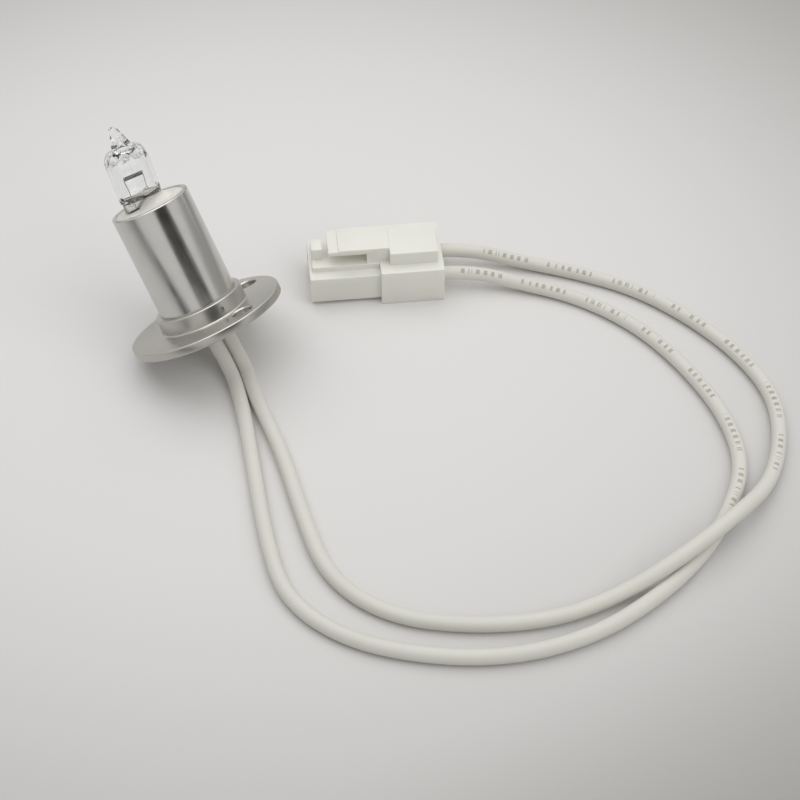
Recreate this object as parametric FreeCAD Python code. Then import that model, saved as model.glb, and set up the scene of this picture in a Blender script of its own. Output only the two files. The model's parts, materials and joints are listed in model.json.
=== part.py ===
"""Analyzer halogen lamp: a quartz capsule potted in a flanged aluminium barrel, two leads and a plug.

Millimetres, +Z up.  The table is at z = 0.  The lamp lies as it comes to rest: tipped toward +Y on the
lower edge of its flange and propped by its own leads.  The origin is under the middle of the lamp's box.
"""
import os
from math import acos, cos, radians, sin, tan

import FreeCAD
import Part

V = FreeCAD.Vector
os.makedirs("parts", exist_ok=True)

# Posture of the lamp on the table
LEAN_DEG = 33.0            # lamp axis from the vertical, toward +Y
LAMP_SHIFT_Y = -5.7        # puts the origin under the middle of the lamp's box

# Flange, turned in one piece with its collar
FLANGE_R = 17.0
FLANGE_T = 1.9
FLANGE_EDGE = 0.35         # chamfer on both rims of the disc
COLLAR_H = 3.6
COLLAR_EDGE = 0.35
COLLAR_ROOT = 0.4          # fillet between collar and disc
SEAT_H = 0.9               # height of the ledge that the barrel stands on
HOLE_CIRCLE_R = 12.9
HOLE_R = 2.2               # two fixing holes
KEY_HOLE_R = 2.4           # third hole, for a locating stud
HOLE_EDGE = 0.25           # chamfer at both ends of each hole
FIXING_CLOCKS = (7.0, 187.0)   # degrees round the axis from the lowest point of the rim
KEY_CLOCK = 277.0

# Barrel
BARREL_R = 8.5
BARREL_TOP_H = 28.4        # rim above the flange's underside
BARREL_WALL = 1.0
SHOULDER_W = 0.8           # ledge inside that carries the ceramic base
SHOULDER_H = 13.0
RIM_EDGE = 0.3
COLLAR_WALL = 1.2

BARREL_BORE_R = BARREL_R - BARREL_WALL
BARREL_LOWER_BORE_R = BARREL_BORE_R - SHOULDER_W
COLLAR_R = BARREL_R + COLLAR_WALL

# Pin that locks the barrel in the collar
PIN_R = 0.5
PIN_CLOCK = 176.0
PIN_H = 3.6
PIN_RECESS = 0.35          # its head lies this far inside the collar's surface
PIN_LENGTH = 1.6

# Ceramic base and the cement round the pinch seal
CERAMIC_CLEAR = 0.1
CERAMIC_TOP_GAP = 1.5      # ceramic's top below the barrel's rim
CERAMIC_CAVITY_R = 5.0
CERAMIC_SEAT = 3.0         # ceramic left under the seal, with a hole for each pin
SLOT_CLEAR = 0.3
CEMENT_DROP = 0.25         # cement's face below the barrel's rim
MOUND_X = 2.1              # bead of cement against the right half of the seal, off the capsule's axis
MOUND_R = 3.7
MOUND_TOP_R = 2.7

# Capsule: heights are measured along its own axis from the barrel's rim
CAPSULE_R = 4.55
CAPSULE_WALL = 0.85
CAPSULE_TILT = 5.0         # degrees off the barrel's axis
CAPSULE_TILT_CLOCK = 243.5
CAPSULE_OFFSET = 1.1       # away from the tilt, at the rim
BULB_BOTTOM = 1.6
BULB_FULL = 3.2            # full diameter from here
SHOULDER_START = 10.2
DOME_TOP = 12.9
NIPPLE_R = 2.25
NIPPLE_TIP = 17.3
NIPPLE_TIP_R = 0.75
PINCH_CLOCK = 77.0
PINCH_W = 8.2
PINCH_T = 3.2
PINCH_TOP = 4.2
PINCH_BOTTOM = -5.4
PINCH_EDGE = 0.9

# Filament, its inner leads, foils and contact pins
FILAMENT_H = 6.5
FILAMENT_LENGTH = 4.2
COIL_R = 0.33              # middle of the wire
COIL_WIRE_R = 0.09
COIL_TURNS = 11
INNER_LEAD_R = 0.16
INNER_LEAD_X = 1.9
INNER_LEAD_BEND = 0.5
LEAD_SPREAD = 1.4          # height over which a lead spreads to its end turns
LEAD_SPREAD_END = 1.2      # below the coil
LEAD_REACH = 0.75          # how far an inner lead reaches into the coil
FOIL_X = 1.9
FOIL_W = 1.9
FOIL_T = 0.1
FOIL_TOP = 1.4
FOIL_BOTTOM = -4.2
WELD_LAP = 1.2             # length over which leads and pins lie on a foil
CONTACT_R = 0.4
CONTACT_BEND = 1.6
PIN_CLEAR = 0.2            # straight length below the ceramic

# Lead wires, splices and the bush that they leave by
WIRE_R = 1.55
WIRE_GAP = 0.7             # between the two wires in the bush
SPLICE_R = 1.2
SPLICE_LENGTH = 6.0
SPLICE_CRIMP = 0.25
SPLICE_END = 1.0           # plain ends outside the two crimps
SPLICE_FLARE = 0.3
SPLICE_GROOVE = 0.9
WIRE_START_H = 5.0
SLEEVE_WALL = 0.3
SLEEVE_OVERLAP = 1.5       # length of sleeve over each end of the splice
BUSH_R = 5.2
BUSH_HEAD_R = 6.2
BUSH_HEAD_T = 1.0
BUSH_TOP_H = 3.0

# Plug, in its own frame: x forward from the rear face, y across, z up from the table
PLUG_X, PLUG_Y, PLUG_DEG = 52.3, -24.3, 140.4
REAR_LENGTH = 14.0
REAR_W = 16.2
REAR_H = 9.0
FRONT_LENGTH = 15.6
FRONT_INSET = 1.3
FRONT_BASE = 0.9
FRONT_TOP = 7.5
SPINE_W = 8.6              # raised middle of the front part, under the latch
SPINE_TOP = 8.8
BACK_BLOCK_W = 10.8
BACK_BLOCK_TOP = 12.2
BACK_BLOCK_START = 1.2
BACK_BLOCK_END = 11.8
BACK_GROOVE_W = 2.4
BACK_GROOVE_D = 0.9
LATCH_W = 7.6
LATCH_TOP = 12.7
LATCH_T = 1.4
LATCH_SETBACK = 4.3        # latch's free end behind the mating face
LATCH_WEB = 2.8
LATCH_STEP = 2.3
LATCH_STEP_D = 0.3
LATCH_BARB_LENGTH = 2.4    # catch under the lever's free end
LATCH_BARB_D = 0.9
LATCH_BARB_INSET = 1.2
LEAD_IN = 0.7              # chamfer round the mating end
STOP_LENGTH = 3.0
STOP_W = 3.4
STOP_TOP = 11.7
CIRCUIT_PITCH = 7.5
CIRCUIT_Z = 4.3
CAVITY_W = 5.0
CAVITY_H = 5.0
CAVITY_WALL = 5.0          # solid thickness behind the cavities, with the wire holes
ENTRY_CLEAR = 0.1
PLUG_EDGE = 0.5
TERMINAL_W = 3.6
TERMINAL_WALL = 0.4
TERMINAL_LENGTH = 15.0
TERMINAL_BOX = 9.0

# Cord routes on the table, chosen along the wires of the reference view
TABLE_Z = WIRE_R
OUTER_ROUTE = [
    (-3.4, -23.5, TABLE_Z), (-10.3, -38.2, TABLE_Z), (-18.2, -53.2, TABLE_Z), (-25.5, -67.8, TABLE_Z),
    (-24.2, -82.2, TABLE_Z), (-15.0, -94.9, TABLE_Z), (-2.3, -105.0, TABLE_Z), (10.8, -109.9, TABLE_Z),
    (24.0, -114.6, 4.9), (38.8, -116.2, 4.9), (52.0, -115.2, 2.0), (64.0, -109.5, TABLE_Z),
    (73.2, -100.8, TABLE_Z), (78.0, -88.0, TABLE_Z), (79.4, -74.0, TABLE_Z), (78.2, -60.0, TABLE_Z),
    (73.2, -47.0, TABLE_Z), (66.8, -35.6, 1.9),
]
INNER_ROUTE = [
    (-7.2, -23.4, TABLE_Z), (-17.1, -38.4, TABLE_Z), (-27.1, -53.4, TABLE_Z), (-33.9, -66.5, TABLE_Z),
    (-33.3, -80.6, TABLE_Z), (-25.6, -94.0, TABLE_Z), (-14.5, -105.4, TABLE_Z), (-1.0, -112.5, TABLE_Z),
    (13.0, -115.7, TABLE_Z), (27.7, -116.4, TABLE_Z), (41.0, -113.4, TABLE_Z), (52.5, -108.3, TABLE_Z),
    (60.6, -98.3, TABLE_Z), (65.9, -85.5, TABLE_Z), (68.9, -71.8, TABLE_Z), (68.6, -60.2, TABLE_Z),
    (66.2, -50.0, TABLE_Z), (61.3, -40.6, 2.0),
]
WIRE_DROP_H = {"outer": -9.2, "inner": -8.6}   # where each lead's first straight run ends
PLUG_LEADOUT = 5.7         # straight run behind the plug
WIRE_DEPTH = 6.0           # how far each wire reaches into the plug
ARC_SHARE = 0.45

WIRE_SPACING = 2 * WIRE_R + WIRE_GAP

# Frames
LAMP = FreeCAD.Placement(V(0, LAMP_SHIFT_Y, (FLANGE_R - FLANGE_EDGE) * sin(radians(LEAN_DEG))),
                         FreeCAD.Rotation(V(1, 0, 0), -LEAN_DEG))
PLUG = FreeCAD.Placement(V(PLUG_X, PLUG_Y, 0), FreeCAD.Rotation(V(0, 0, 1), PLUG_DEG))


def clock(angle, radius, height=0.0):
    """Point at a clock angle round the lamp's axis; zero is the lowest point of the rim."""
    return V(-sin(radians(angle)) * radius, cos(radians(angle)) * radius, height)


def capsule_frame():
    """Frame of the capsule: z up its own axis from the rim, x across the pinch seal."""
    lean = clock(CAPSULE_TILT_CLOCK, 1.0)
    hinge = V(0, 0, 1).cross(lean)
    tilt = FreeCAD.Rotation(hinge, CAPSULE_TILT)
    turn = FreeCAD.Rotation(V(0, 0, 1), PINCH_CLOCK + 90.0)
    base = clock(CAPSULE_TILT_CLOCK, -CAPSULE_OFFSET, BARREL_TOP_H)
    return FreeCAD.Placement(base, tilt.multiply(turn))


CAPSULE = capsule_frame()


def save(name, shape):
    """Write one node."""
    if not shape.isValid():
        raise ValueError(name + " is not a valid solid")
    shape.exportStep("parts/" + name + ".step")
    print(name, "volume", round(shape.Volume, 2))


def placed(shape, frame):
    """A copy of a shape moved into a frame."""
    out = shape.copy()
    out.Placement = frame.multiply(out.Placement)
    return out


def cylinder(radius, low, high, centre=V(0, 0, 0)):
    """Upright cylinder between two heights."""
    return Part.makeCylinder(radius, high - low, V(centre.x, centre.y, low))


def box(x0, x1, y0, y1, z0, z1):
    """Box between two corners."""
    return Part.makeBox(x1 - x0, y1 - y0, z1 - z0, V(x0, y0, z0))


def polygon(points):
    """Closed straight-sided wire."""
    return Part.makePolygon(points + [points[0]])


def turned(profile):
    """Solid of revolution about Z from (radius, height) corners."""
    face = Part.Face(polygon([V(r, 0, z) for r, z in profile]))
    return face.revolve(V(0, 0, 0), V(0, 0, 1), 360)


def turned_edges(edges):
    """Solid of revolution about Z from a closed loop of edges in the XZ plane."""
    return Part.Face(Part.Wire(edges)).revolve(V(0, 0, 0), V(0, 0, 1), 360)


def line(a, b):
    return Part.LineSegment(a, b).toShape()


def arc(a, m, b):
    return Part.Arc(a, m, b).toShape()


def pipe_path(points, radii=None):
    """Straight runs joined by tangent arcs, as one wire; also returns the arc radii."""
    edges, used = [], []
    start = points[0]
    for i in range(1, len(points) - 1):
        before, here, after = points[i - 1], points[i], points[i + 1]
        u1, u2 = (here - before).normalize(), (after - here).normalize()
        half = acos(max(-1.0, min(1.0, u1.dot(u2)))) / 2
        shorter = min((here - before).Length, (after - here).Length)
        reach = ARC_SHARE * shorter if radii is None else radii * tan(half)
        radius = reach / tan(half)
        used.append(radius)
        a, b = here - u1 * reach, here + u2 * reach
        middle = here + (u2 - u1).normalize() * (radius / cos(half) - radius)
        edges.append(line(start, a))
        edges.append(arc(a, middle, b))
        start = b
    edges.append(line(start, points[-1]))
    return Part.Wire(edges), used


def tube(points, radius, radii=None):
    """Round bar along a path of runs and arcs."""
    path, used = pipe_path(points, radii)
    ring = Part.Wire(Part.makeCircle(radius, points[0], points[1] - points[0]))
    pipe = path.makePipeShell([ring], True, False)
    return pipe, path, used


# Flange with its collar

def flange():
    """Turned disc and collar, bored for the barrel and the bush, drilled for screws, key and pin."""
    top = FLANGE_T + COLLAR_H
    mid = COLLAR_ROOT * (1 - cos(radians(45)))
    profile = [
        line(V(BUSH_R, 0, 0), V(FLANGE_R - FLANGE_EDGE, 0, 0)),
        line(V(FLANGE_R - FLANGE_EDGE, 0, 0), V(FLANGE_R, 0, FLANGE_EDGE)),
        line(V(FLANGE_R, 0, FLANGE_EDGE), V(FLANGE_R, 0, FLANGE_T - FLANGE_EDGE)),
        line(V(FLANGE_R, 0, FLANGE_T - FLANGE_EDGE), V(FLANGE_R - FLANGE_EDGE, 0, FLANGE_T)),
        line(V(FLANGE_R - FLANGE_EDGE, 0, FLANGE_T), V(COLLAR_R + COLLAR_ROOT, 0, FLANGE_T)),
        arc(V(COLLAR_R + COLLAR_ROOT, 0, FLANGE_T), V(COLLAR_R + mid, 0, FLANGE_T + mid),
            V(COLLAR_R, 0, FLANGE_T + COLLAR_ROOT)),
        line(V(COLLAR_R, 0, FLANGE_T + COLLAR_ROOT), V(COLLAR_R, 0, top - COLLAR_EDGE)),
        line(V(COLLAR_R, 0, top - COLLAR_EDGE), V(COLLAR_R - COLLAR_EDGE, 0, top)),
        line(V(COLLAR_R - COLLAR_EDGE, 0, top), V(BARREL_R, 0, top)),
        line(V(BARREL_R, 0, top), V(BARREL_R, 0, SEAT_H)),
        line(V(BARREL_R, 0, SEAT_H), V(BUSH_R, 0, SEAT_H)),
        line(V(BUSH_R, 0, SEAT_H), V(BUSH_R, 0, 0)),
    ]
    body = turned_edges(profile)
    for angle, radius in [(a, HOLE_R) for a in FIXING_CLOCKS] + [(KEY_CLOCK, KEY_HOLE_R)]:
        body = body.cut(screw_hole(clock(angle, HOLE_CIRCLE_R), radius))
    return body.cut(pin_bore())


def screw_hole(centre, radius):
    """Through hole with both ends chamfered, as the solid to take away."""
    wide = radius + 2 * HOLE_EDGE
    hole = cylinder(radius, -HOLE_EDGE, FLANGE_T + HOLE_EDGE, centre)
    low = Part.makeCone(wide, radius, 2 * HOLE_EDGE, V(centre.x, centre.y, -HOLE_EDGE))
    high = Part.makeCone(radius, wide, 2 * HOLE_EDGE, V(centre.x, centre.y, FLANGE_T - HOLE_EDGE))
    return hole.fuse(low).fuse(high)


def pin_bore():
    """Cylinder from the collar's surface to the pin's inner end."""
    outward = clock(PIN_CLOCK, 1.0)
    inner = COLLAR_R - PIN_RECESS - PIN_LENGTH
    return Part.makeCylinder(PIN_R, COLLAR_R + 1 - inner, clock(PIN_CLOCK, inner, PIN_H), outward)


def collar_pin():
    """Dowel through the collar into the barrel's wall."""
    outward = clock(PIN_CLOCK, 1.0)
    inner = COLLAR_R - PIN_RECESS - PIN_LENGTH
    return Part.makeCylinder(PIN_R, PIN_LENGTH, clock(PIN_CLOCK, inner, PIN_H), outward)


def barrel():
    """Tube with an inner shoulder for the ceramic base and an eased rim."""
    body = turned([
        (BARREL_LOWER_BORE_R, SEAT_H), (BARREL_R, SEAT_H), (BARREL_R, BARREL_TOP_H - RIM_EDGE),
        (BARREL_R - RIM_EDGE, BARREL_TOP_H), (BARREL_BORE_R, BARREL_TOP_H), (BARREL_BORE_R, SHOULDER_H),
        (BARREL_LOWER_BORE_R, SHOULDER_H),
    ])
    return body.cut(pin_bore())


# Capsule

def capsule_outline(grow, low, full, shoulder, dome, nipple_r, tip, tip_r):
    """Closed half outline of the bulb: rounded bottom, straight wall, dome and drawn tip."""
    r = CAPSULE_R - grow
    bottom_mid = V(r * 0.72, 0, low + (full - low) * 0.30)
    dome_mid = V(r - (r - nipple_r) * 0.22, 0, shoulder + (dome - shoulder) * 0.68)
    neck = V(nipple_r * 0.80, 0, dome + (tip - dome) * 0.42)
    return [
        line(V(0, 0, low), V(r * 0.30, 0, low)),
        arc(V(r * 0.30, 0, low), bottom_mid, V(r, 0, full)),
        line(V(r, 0, full), V(r, 0, shoulder)),
        arc(V(r, 0, shoulder), dome_mid, V(nipple_r, 0, dome)),
        line(V(nipple_r, 0, dome), neck),
        line(neck, V(tip_r, 0, tip - tip_r)),
        arc(V(tip_r, 0, tip - tip_r), V(tip_r * sin(radians(45)), 0, tip - tip_r * (1 - cos(radians(45)))),
            V(0, 0, tip)),
        line(V(0, 0, tip), V(0, 0, low)),
    ]


def bulb_outer():
    return turned_edges(capsule_outline(0, BULB_BOTTOM, BULB_FULL, SHOULDER_START, DOME_TOP,
                                        NIPPLE_R, NIPPLE_TIP, NIPPLE_TIP_R))


def bulb_inner():
    """Gas space: the outline moved in by the wall, with a fine channel up the drawn tip."""
    wall = CAPSULE_WALL
    return turned_edges(capsule_outline(wall, BULB_BOTTOM + 1.7 * wall, BULB_FULL + 0.6 * wall, SHOULDER_START,
                                        DOME_TOP - wall, NIPPLE_R - wall, NIPPLE_TIP - 2.2 * wall,
                                        NIPPLE_TIP_R / 3))


def pinch(clear=0.0):
    """Flat pinch seal with rounded side edges."""
    half_w, half_t = PINCH_W / 2 + clear, PINCH_T / 2 + clear
    slab = box(-half_w, half_w, -half_t, half_t, PINCH_BOTTOM - clear, PINCH_TOP)
    upright = [e for e in slab.Edges if abs(e.tangentAt(e.FirstParameter).z) > 0.99]
    return slab.makeFillet(PINCH_EDGE, upright)


def side_sign(side):
    """The left hand pieces lie at positive x of the capsule's frame."""
    return 1.0 if side == "left" else -1.0


def inner_lead(side):
    """Wire from the foil up to the coil, bent over into its end turns."""
    s = side_sign(side)
    y = FOIL_T / 2 + INNER_LEAD_R
    x = s * INNER_LEAD_X
    end = s * (FILAMENT_LENGTH / 2 - LEAD_REACH)
    outer = s * (FILAMENT_LENGTH / 2 + INNER_LEAD_BEND)
    points = [V(x, y, FOIL_TOP - WELD_LAP), V(x, y, FILAMENT_H - LEAD_SPREAD_END - LEAD_SPREAD),
              V(outer, y, FILAMENT_H - LEAD_SPREAD_END),
              V(outer, y, FILAMENT_H), V(end, y, FILAMENT_H)]
    return tube(points, INNER_LEAD_R, INNER_LEAD_BEND * 0.9)[0]


def filament():
    """Single coil across the capsule, of six-sided wire."""
    pitch = FILAMENT_LENGTH / COIL_TURNS
    path = Part.makeHelix(pitch, FILAMENT_LENGTH, COIL_R)
    ring = polygon([V(COIL_R + COIL_WIRE_R * cos(radians(60 * i)), 0, COIL_WIRE_R * sin(radians(60 * i)))
                    for i in range(6)])
    coil = Part.Wire(path).makePipeShell([ring], True, True)
    y = FOIL_T / 2 + INNER_LEAD_R
    coil.Placement = FreeCAD.Placement(V(-FILAMENT_LENGTH / 2, y, FILAMENT_H), FreeCAD.Rotation(V(0, 1, 0), 90))
    return coil


def foil(side):
    """Molybdenum foil that carries the current through the seal."""
    x = side_sign(side) * FOIL_X
    return box(x - FOIL_W / 2, x + FOIL_W / 2, -FOIL_T / 2, FOIL_T / 2, FOIL_BOTTOM, FOIL_TOP)


def splice_place(side):
    """Bottom centre of a splice, in the lamp's frame."""
    angle = PINCH_CLOCK if side == "left" else PINCH_CLOCK + 180.0
    return clock(angle, WIRE_SPACING / 2, WIRE_START_H)


def contact_pin(side):
    """Pin welded to the back of a foil, led out of the seal and across to its splice."""
    s = side_sign(side)
    y = -(FOIL_T / 2 + CONTACT_R)
    x = s * FOIL_X
    seal = [V(x, y, FOIL_BOTTOM + WELD_LAP), V(x, y, PINCH_BOTTOM - CERAMIC_SEAT - PIN_CLEAR)]
    top = splice_place(side) + V(0, 0, SPLICE_LENGTH)
    points = [CAPSULE.multVec(p) for p in seal] + [top + V(0, 0, CONTACT_BEND), top - V(0, 0, SPLICE_LENGTH / 2)]
    return tube(points, CONTACT_R, CONTACT_BEND)[0]


def capsule():
    """Quartz envelope with its seal, the gas space and room for what is sealed in."""
    glass = bulb_outer().fuse(pinch()).removeSplitter()
    glass = glass.cut(bulb_inner())
    for side in ("left", "right"):
        glass = glass.cut(inner_lead(side)).cut(foil(side))
    glass = placed(glass, CAPSULE)
    for side in ("left", "right"):
        glass = glass.cut(contact_pin(side))
    return glass


# Base, cement, splices and bush

def ceramic_base():
    """Steatite holder with a slot for the pinch seal and a cavity for the pins."""
    top = BARREL_TOP_H - CERAMIC_TOP_GAP
    body = cylinder(BARREL_BORE_R - CERAMIC_CLEAR, SHOULDER_H, top)
    cavity_top = BARREL_TOP_H + PINCH_BOTTOM - CERAMIC_SEAT
    body = body.cut(cylinder(CERAMIC_CAVITY_R, SHOULDER_H - 1, cavity_top))
    slot = placed(pinch(SLOT_CLEAR), CAPSULE)
    body = body.cut(slot)
    for side in ("left", "right"):
        x = side_sign(side) * FOIL_X
        y = -(FOIL_T / 2 + CONTACT_R)
        hole = Part.makeCylinder(CONTACT_R + SLOT_CLEAR, CERAMIC_SEAT + 1, V(x, y, PINCH_BOTTOM),
                                 V(0, 0, -1))
        body = body.cut(placed(hole, CAPSULE))
    return body


def cement():
    """Potting over the ceramic base, with a bead against the right half of the pinch seal."""
    low, high = BARREL_TOP_H - CERAMIC_TOP_GAP, BARREL_TOP_H - CEMENT_DROP
    body = cylinder(BARREL_BORE_R, low, high)
    sunk = (CERAMIC_TOP_GAP + CEMENT_DROP) / 2
    mound = Part.makeCone(MOUND_R, MOUND_TOP_R, BULB_FULL + sunk, V(-MOUND_X, 0, -sunk))
    body = body.fuse(placed(mound, CAPSULE))
    return body.cut(placed(bulb_outer().fuse(pinch()), CAPSULE))


def splice(side):
    """Crimp ferrule between a contact pin and a lead wire."""
    low = splice_place(side)
    groove = SPLICE_R - SPLICE_CRIMP
    crimp = [(SPLICE_R, SPLICE_END), (groove, SPLICE_END + SPLICE_FLARE),
             (groove, SPLICE_END + SPLICE_FLARE + SPLICE_GROOVE),
             (SPLICE_R, SPLICE_END + 2 * SPLICE_FLARE + SPLICE_GROOVE)]
    mirrored = [(r, SPLICE_LENGTH - h) for r, h in reversed(crimp)]
    body = turned([(0, 0), (SPLICE_R, 0)] + crimp + mirrored + [(SPLICE_R, SPLICE_LENGTH), (0, SPLICE_LENGTH)])
    body.translate(low)
    return body.cut(contact_pin(side))


def sleeve(side):
    """Insulating tube over a splice and the end of its wire."""
    low = splice_place(side)
    base, top = low.z - SLEEVE_OVERLAP, low.z + SPLICE_LENGTH + SLEEVE_OVERLAP
    outer = cylinder(WIRE_R + SLEEVE_WALL, base, top, low)
    return outer.cut(cylinder(WIRE_R, base - 1, top + 1, low))


def wire_bush():
    """Headed bush in the flange with a hole for each wire."""
    body = turned([(0, -BUSH_HEAD_T), (BUSH_HEAD_R, -BUSH_HEAD_T), (BUSH_HEAD_R, 0), (BUSH_R, 0),
                   (BUSH_R, BUSH_TOP_H), (0, BUSH_TOP_H)])
    for side in ("left", "right"):
        body = body.cut(cylinder(WIRE_R, -BUSH_HEAD_T - 1, BUSH_TOP_H + 1, splice_place(side)))
    return body


# Plug

def circuit_y(cord):
    """The outer lead goes to the far circuit, the inner lead to the near one."""
    return CIRCUIT_PITCH / 2 if cord == "inner" else -CIRCUIT_PITCH / 2


def plug_housing():
    """Moulded two-circuit housing: rear block, front block with its spine, latch lever over the front."""
    length = REAR_LENGTH + FRONT_LENGTH
    half = REAR_W / 2
    rear = box(0, REAR_LENGTH, -half, half, 0, REAR_H)
    rear = rear.makeFillet(PLUG_EDGE, [e for e in rear.Edges if abs(e.tangentAt(e.FirstParameter).x) > 0.99])
    inner = half - FRONT_INSET
    front = box(REAR_LENGTH - 1, length - LEAD_IN, -inner, inner, FRONT_BASE, FRONT_TOP)
    front = front.makeFillet(PLUG_EDGE, [e for e in front.Edges if abs(e.tangentAt(e.FirstParameter).x) > 0.99])
    spine = box(REAR_LENGTH - 1, length - LEAD_IN, -SPINE_W / 2, SPINE_W / 2, FRONT_TOP - 1, SPINE_TOP)
    front = front.fuse(nose()).fuse(spine)
    back = box(BACK_BLOCK_START, BACK_BLOCK_END, -BACK_BLOCK_W / 2, BACK_BLOCK_W / 2, REAR_H - 1, BACK_BLOCK_TOP)
    back = back.makeFillet(PLUG_EDGE, [e for e in back.Edges if abs(e.tangentAt(e.FirstParameter).x) > 0.99])
    groove = box(BACK_BLOCK_START - 1, BACK_BLOCK_END + 1, -BACK_BLOCK_W / 2 - 1,
                 -BACK_BLOCK_W / 2 + BACK_GROOVE_W, BACK_BLOCK_TOP - BACK_GROOVE_D, BACK_BLOCK_TOP + 1)
    back = back.cut(groove)
    body = rear.fuse(front).fuse(back).fuse(latch())
    for cord in ("outer", "inner"):
        y = circuit_y(cord)
        cavity = box(CAVITY_WALL, length + 1, y - CAVITY_W / 2, y + CAVITY_W / 2, CIRCUIT_Z - CAVITY_H / 2,
                     CIRCUIT_Z + CAVITY_H / 2)
        entry = Part.makeCylinder(WIRE_R + ENTRY_CLEAR, CAVITY_WALL + 2, V(-1, y, CIRCUIT_Z), V(1, 0, 0))
        body = body.cut(cavity).cut(entry)
    return body.removeSplitter()


def nose():
    """Tapered end of the front block, four flats drawn in to the mating face."""
    length = REAR_LENGTH + FRONT_LENGTH
    half = REAR_W / 2 - FRONT_INSET - PLUG_EDGE / 3
    low, high = FRONT_BASE + PLUG_EDGE / 3, FRONT_TOP - PLUG_EDGE / 3
    ends = []
    for x, s in ((length - LEAD_IN, 0.0), (length, LEAD_IN * 0.6)):
        ends.append(polygon([V(x, s - half, low + s), V(x, half - s, low + s), V(x, half - s, high - s),
                             V(x, s - half, high - s)]))
    return Part.makeLoft(ends, True, True)


def latch():
    """Lever on a web over the front block, with the stop at the mating face."""
    length = REAR_LENGTH + FRONT_LENGTH
    half = LATCH_W / 2
    lever = box(BACK_BLOCK_END, length - LATCH_SETBACK, -half, half, LATCH_TOP - LATCH_T, LATCH_TOP)
    web_front = REAR_LENGTH + LATCH_WEB
    web = box(BACK_BLOCK_END - 1, web_front, -half, half, SPINE_TOP - 1, LATCH_TOP - LATCH_T)
    step = box(length - LATCH_SETBACK - LATCH_STEP, length, -half - 1, half + 1, LATCH_TOP - LATCH_STEP_D,
               LATCH_TOP + 1)
    stop = box(length - STOP_LENGTH, length - LEAD_IN, -STOP_W / 2, STOP_W / 2, SPINE_TOP - 1, STOP_TOP)
    under, end = LATCH_TOP - LATCH_T, length - LATCH_SETBACK
    wedge = polygon([V(end, LATCH_BARB_INSET - half, under), V(end - LATCH_BARB_LENGTH, LATCH_BARB_INSET - half, under),
                     V(end - LATCH_BARB_LENGTH, LATCH_BARB_INSET - half, under - LATCH_BARB_D)])
    barb = Part.Face(wedge).extrude(V(0, LATCH_W - 2 * LATCH_BARB_INSET, 0))
    return lever.fuse(web).cut(step).fuse(stop).fuse(barb)


def terminal(cord):
    """Crimped socket contact: square box in front, crimp barrel on the wire behind."""
    y = circuit_y(cord)
    start = WIRE_DEPTH
    crimp = Part.makeCylinder(WIRE_R * 0.8, TERMINAL_LENGTH - TERMINAL_BOX, V(start, y, CIRCUIT_Z), V(1, 0, 0))
    x0, x1 = start + TERMINAL_LENGTH - TERMINAL_BOX, start + TERMINAL_LENGTH
    half = TERMINAL_W / 2
    shell = box(x0, x1, y - half, y + half, CIRCUIT_Z - half, CIRCUIT_Z + half)
    hollow = half - TERMINAL_WALL
    shell = shell.cut(box(x0 + TERMINAL_WALL, x1 + 1, y - hollow, y + hollow, CIRCUIT_Z - hollow, CIRCUIT_Z + hollow))
    return crimp.fuse(shell)


# Cords

def cord_points(cord):
    """Control points of a lead: out of the splice, through the bush, over the table, into the plug."""
    side = "left" if cord == "inner" else "right"
    top = splice_place(side)
    y = circuit_y(cord)
    lamp_end = [LAMP.multVec(top), LAMP.multVec(V(top.x, top.y, WIRE_DROP_H[cord]))]
    plug_end = [PLUG.multVec(V(-PLUG_LEADOUT, y, CIRCUIT_Z)), PLUG.multVec(V(WIRE_DEPTH, y, CIRCUIT_Z))]
    route = OUTER_ROUTE if cord == "outer" else INNER_ROUTE
    return lamp_end + [V(*p) for p in route] + plug_end


def cord(name):
    """Plain tube along a lead's route."""
    points = cord_points(name)
    pipe, path, radii = tube(points, WIRE_R)
    section = 3.14159265 * WIRE_R ** 2
    print(name, "lead: length", round(path.Length, 1), "least radius", round(min(radii), 1),
          "volume over section times length", round(pipe.Volume / (section * path.Length), 4))
    print("  points", [(round(p.x, 2), round(p.y, 2), round(p.z, 2)) for p in points])
    return pipe


def main():
    """Build and write every node."""
    save("flange", placed(flange(), LAMP))
    save("barrel", placed(barrel(), LAMP))
    save("collar_pin", placed(collar_pin(), LAMP))
    save("ceramic_base", placed(ceramic_base(), LAMP))
    save("cement", placed(cement(), LAMP))
    save("capsule", placed(capsule(), LAMP))
    save("filament", placed(placed(filament(), CAPSULE), LAMP))
    save("wire_bush", placed(wire_bush(), LAMP))
    for side in ("left", "right"):
        save("inner_lead_" + side, placed(placed(inner_lead(side), CAPSULE), LAMP))
        save("foil_" + side, placed(placed(foil(side), CAPSULE), LAMP))
        save("contact_pin_" + side, placed(contact_pin(side), LAMP))
        save("splice_" + side, placed(splice(side), LAMP))
        save("sleeve_" + side, placed(sleeve(side), LAMP))
    save("plug_housing", placed(plug_housing(), PLUG))
    for name in ("outer", "inner"):
        save("terminal_" + name, placed(terminal(name), PLUG))
        save("lead_" + name, cord(name))


main()
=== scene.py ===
"""Dresses the analyzer halogen lamp: a quartz capsule in a flanged aluminium barrel, two leads and a plug.

The scene is in metres in the frame of the solids: the table is at z = 0, +Z is up, and the lamp leans
toward +Y on the lower edge of its flange.  Sizes in the classes are millimetres, as on a drawing, and
noise scales are waves per metre.
"""
from __future__ import annotations

import json
import logging
from dataclasses import dataclass, field
from enum import Enum
from typing import Sequence

import bmesh
import bpy
import numpy as np
from mathutils import Matrix, Vector

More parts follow.
